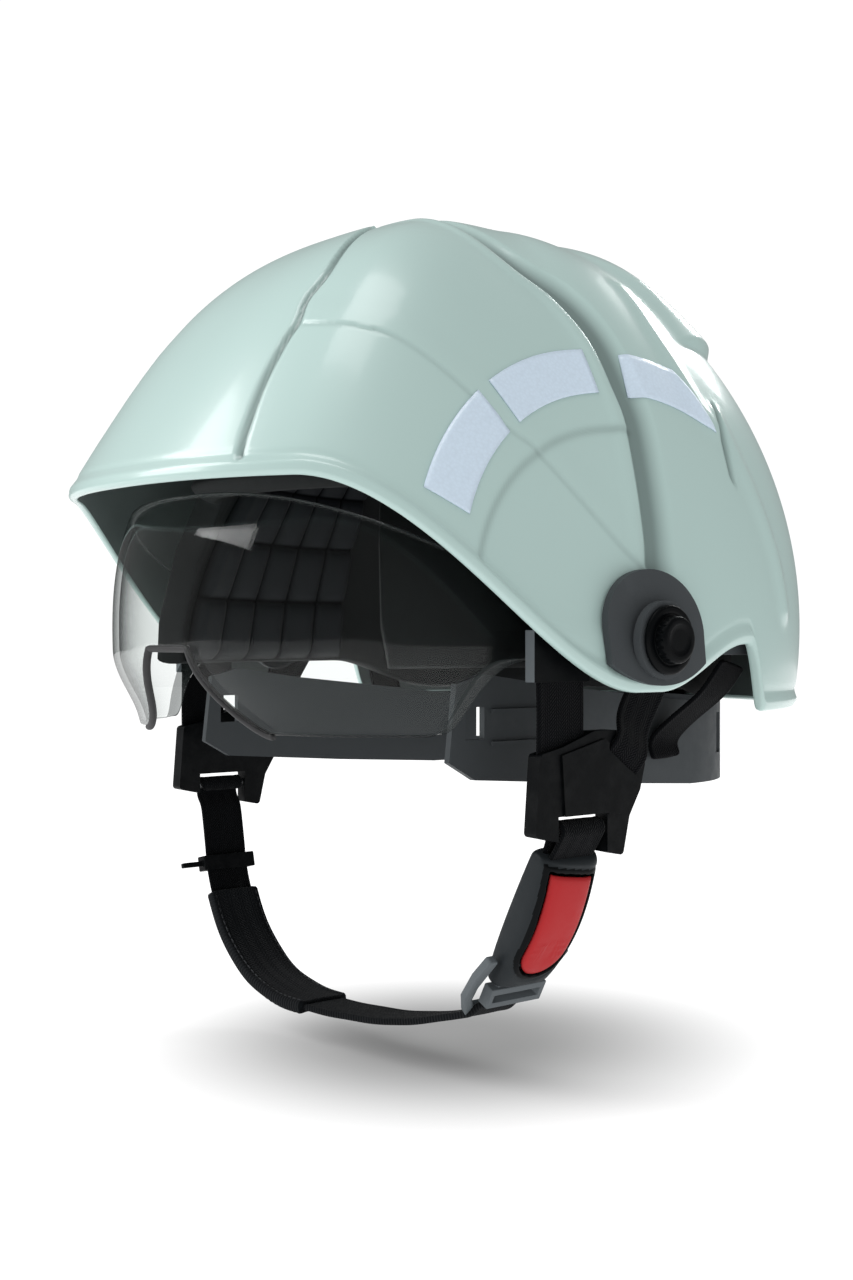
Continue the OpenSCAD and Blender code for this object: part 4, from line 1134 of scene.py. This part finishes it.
def build_button():
    """Release button: a domed tab with a dish and three finger ridges at its middle."""
    loops, around, grip, base_depth = 16, 120, 41, 1.2
    outline = button_outline(around)
    middle = np.array([0, (BUTTON_TOP + BUTTON_FOOT) / 2])

    def ring_at(spots, out):
        return BAR_L + OUT * out[:, None] + Y * spots[:, :1] + DOWN * spots[:, 1:]
    every = []
    for share in (0.05, 0.4, 0.7, 1.0):
        ring = middle + (outline - middle) * share
        every.append(ring_at(ring, buckle_height(ring) - base_depth))
    for g in np.linspace(0, 1, loops):
        ring = middle + (outline - middle) * (1 - g * 0.97)
        off = ring[:, 1] - grip
        ridge = 0.22 * np.maximum(0, np.cos(off * math.pi / 1.3)) ** 2 * (np.abs(off) < 3.4)
        dish = -0.7 * np.exp(-(off / 7) ** 2 - (ring[:, 0] / 7) ** 2)
        out = buckle_height(ring) - 0.45 + ramp(g, 0, 0.1) * 0.55
        every.append(ring_at(ring, out + dish * ramp(g, 0.05, 0.4) + ridge * ramp(g, 0.08, 0.2)))
    cap = make("release_button_cap", np.concatenate(every), tube_faces(len(every), around), M["red"])
    place(cap, "button", "red_plastic", "release_button")


def build_buckle_loop():
    """Webbing folded round the left bar."""
    loop = [in_buckle(1.1, 0, 12.5), in_buckle(2.0, 0, 6)]
    loop += [in_buckle(BAR_FOLD * math.cos(a), 0, -BAR_FOLD * math.sin(a))
             for a in np.radians(np.linspace(0, 180, 9))]
    loop += [in_buckle(-2.0, 0, 6), in_buckle(-1.1, 0, 12.5)]
    ribbon("buckle_loop_webbing", loop, Y, CHIN_WEB, "buckle", "buckle_web_loop", wobble=0.03, step=0.7)


# ---------- chin strap
ARC_CENTRE = joint_mm("keeper_slide")
CHIN_Y = BAR_R[1]
ARC_RADIUS = 60.0
SLEEVE_END = -30.0
CHIN_LOW = ARC_CENTRE[2] - ARC_RADIUS


def chin_point(x, z):
    return np.array([x, CHIN_Y, z])


def arc_points(a0, a1):
    """Points on the arc under the chin every 6 degrees, from one bearing to another."""
    angles = np.radians(np.arange(a0, a1 + 0.01, 6))
    x, z = ARC_CENTRE[0], ARC_CENTRE[2]
    return [chin_point(x + ARC_RADIUS * math.cos(a), z + ARC_RADIUS * math.sin(a)) for a in angles]


def build_chin_strap():
    """Webbing from the right bar, its padded sleeve, and the band that runs up to the adjuster."""
    x = BAR_R[0]
    loop = [BAR_R + np.array([BAR_FOLD * math.cos(a), 0, BAR_FOLD * math.sin(a)])
            for a in np.radians(np.linspace(-60, 180, 12))]
    path = loop + [chin_point(x - 1.6, BAR_R[2] - 5), chin_point(x + 1.4, -119.5)]
    path += arc_points(186, 270) + [chin_point(SLEEVE_END - 6, CHIN_LOW)]
    ribbon("chin_webbing_right", path, Y, CHIN_WEB, "chin_strap", "chin_web_right", wobble=0.05)
    sleeve = arc_points(204, 270) + [chin_point(SLEEVE_END, CHIN_LOW)]
    line, side, normal = ribbon("chin_sleeve_cloth", sleeve, Y, 22.5, "chin_strap", "chin_sleeve", 4.6,
                                "band", "sleeve_cloth", 0.25)
    start = chin_point(SLEEVE_END - 1.5, CHIN_LOW)
    bar = bail_point(0, 1.9, -19.4)
    path = [start + np.array([(bar[0] - start[0]) * u, 0, (bar[2] - start[2]) * u ** 2.2])
            for u in np.linspace(0, 0.95, 12)]
    path += [bar, bail_point(0, 2.6, -14.5), bail_point(0, 4.6, -10.5)]
    ribbon("chin_band_left", path, Y, CHIN_WEB, "chin_strap", "chin_web_left", 2.2, "band", wobble=0.12)
    seam = []
    for i in range(2, len(line) - 2, 2):
        for across in (-9.6, 9.6):
            for out in (-normal[i], normal[i]):
                seam.append((line[i] + side[i] * across + out * 2.35, line[i + 1] - line[i - 1], out))
    stitches("chin_sleeve_thread", seam, "chin_strap")


def bail_point(across, out, down):
    """A point in the adjuster's own frame, which leans in further than the buckle."""
    lean = math.radians(17)
    o = out * math.cos(lean) + down * math.sin(lean)
    d = -out * math.sin(lean) + down * math.cos(lean)
    return in_buckle(o - 2.2, across, HOUSE_TOP + HOUSE_LEN - 2 - d)


# ---------- nape
def build_nape():
    low, high = box_mm("nape_pad")
    centre_y, rx, ry = 50.0, 73 - 2.4, 58 - 2.4
    a = np.radians(np.linspace(53, 127, 40))

    def wall(off, z):
        return np.stack([(rx - off) * np.cos(a), centre_y + (ry - off) * np.sin(a), np.full_like(a, z)], -1)
    heights = np.linspace(low[2] + 1, high[2] - 1, 14)
    back = np.array([wall(4.4, z) for z in heights])
    face = np.array([wall(7.4, z) for z in heights])
    stuffed(sheet_pair("nape_pad_cloth", back, face, M["pad"]), "nape_pad")


build_shell()
build_strips()
build_liner()
build_pads()
build_lens()
side_straps()
cradle_webs()
build_plates()
build_knobs()
build_buckle()
build_button()
build_buckle_loop()
build_chin_strap()
build_nape()


# ---------- studio
AMBIENT, MIRRORED, SHOWN = 0.52, 0.22, 1.05


def floor_look():
    """White paper that lights itself, with a painted soft shadow: its glow dims in an ellipse beneath the
    hat.
    """
    look = Look("pale_floor")
    flat = look.add("VectorMath", {0: look.place, 1: (1, 1, 0)}, operation="MULTIPLY")
    reach = look.add("VectorMath", {0: flat.outputs["Vector"]}, operation="LENGTH").outputs["Value"]
    # painted shadow: the glow drops from 0.95 far out to 0.14 beneath the hat
    painted_shadow_range = {"Value": reach, "From Min": 0.02, "From Max": 0.15, "To Min": 0.14, "To Max": 0.95}
    level = look.add("MapRange", painted_shadow_range, interpolation_type="SMOOTHSTEP").outputs[0]
    glow = look.add("Emission", {"Color": rgba(1, 1, 1), "Strength": level})
    matt = look.add("BsdfDiffuse", {"Color": rgba(0.3, 0.3, 0.3)})
    return look.end(look.add("AddShader", {0: glow.outputs[0], 1: matt.outputs[0]}))


FLOOR_GAP, FLOOR_HALF = 0.011, 4.0


def build_floor():
    """A wide floor a little below the chin strap, in metres."""
    floor_z = float(cad_bounds[0][2]) - FLOOR_GAP
    mesh = bpy.data.meshes.new("floor")
    corners = [(-1, -1), (1, -1), (1, 1), (-1, 1)]
    mesh.from_pydata([(x * FLOOR_HALF, y * FLOOR_HALF, floor_z) for x, y in corners], [], [(0, 1, 2, 3)])
    floor = linked("floor", mesh)
    mesh.materials.append(floor_look())


def surroundings():
    """An even white world: bright to the camera, dim in reflections."""
    world = bpy.data.worlds.new("studio_world")
    bpy.context.scene.world = world
    world.use_nodes = True
    tree = world.node_tree
    back = tree.nodes["Background"]
    back.inputs[0].default_value = rgba(1, 1, 1)
    seen = tree.nodes.new("ShaderNodeLightPath")
    mirrored, shown = (tree.nodes.new("ShaderNodeMapRange") for _ in range(2))
    mirrored.inputs["To Min"].default_value = AMBIENT
    for level, ray, high in ((mirrored, "Is Glossy Ray", MIRRORED), (shown, "Is Camera Ray", SHOWN)):
        level.inputs["To Max"].default_value = high
        tree.links.new(seen.outputs[ray], level.inputs["Value"])
    tree.links.new(mirrored.outputs[0], shown.inputs["To Min"])
    tree.links.new(shown.outputs[0], back.inputs[1])
    bpy.context.scene.view_settings.view_transform = "Standard"


def area(name, place, size, power):
    """A soft square light aimed at the middle of the hat."""
    light = bpy.data.lights.new(name, "AREA")
    light.size, light.energy = size, power
    obj = linked(name, light)
    obj.location = place
    obj.rotation_euler = (-Vector(place)).to_track_quat("-Z", "Y").to_euler()


def studio():
    build_floor()
    surroundings()
    area("key_light", (-0.9, -1.2, 1.0), 1.0, 20)
    area("top_light", (0.1, -0.3, 1.6), 0.8, 7)
    area("back_light", (-0.2, 1.0, 0.65), 0.3, 5)


CAMERA_TURN, CAMERA_DISTANCE = 50.0, 0.6
CAMERA_SHIFT_RIGHT, CAMERA_HEIGHT = -0.010, -0.051
SENSOR, FOCAL_PIXELS, FRAME_PIXELS = 36.0, 1590.0, 1280.0


def camera():
    """The photograph's viewpoint: level, to the wearer's left of the front."""
    turn = math.radians(CAMERA_TURN)
    right, back = Vector((math.cos(turn), math.sin(turn), 0)), Vector((math.sin(turn), -math.cos(turn), 0))
    lens = bpy.data.cameras.new("photo_camera")
    lens.sensor_fit = "VERTICAL"
    lens.sensor_height = SENSOR
    lens.lens = SENSOR * FOCAL_PIXELS / FRAME_PIXELS
    lens.clip_start = 0.01
    obj = linked("photo_camera", lens)
    obj.location = back * CAMERA_DISTANCE + right * CAMERA_SHIFT_RIGHT + Vector((0, 0, CAMERA_HEIGHT))
    obj.rotation_euler = (math.radians(90), 0, turn)
    bpy.context.scene.camera = obj


studio()
camera()
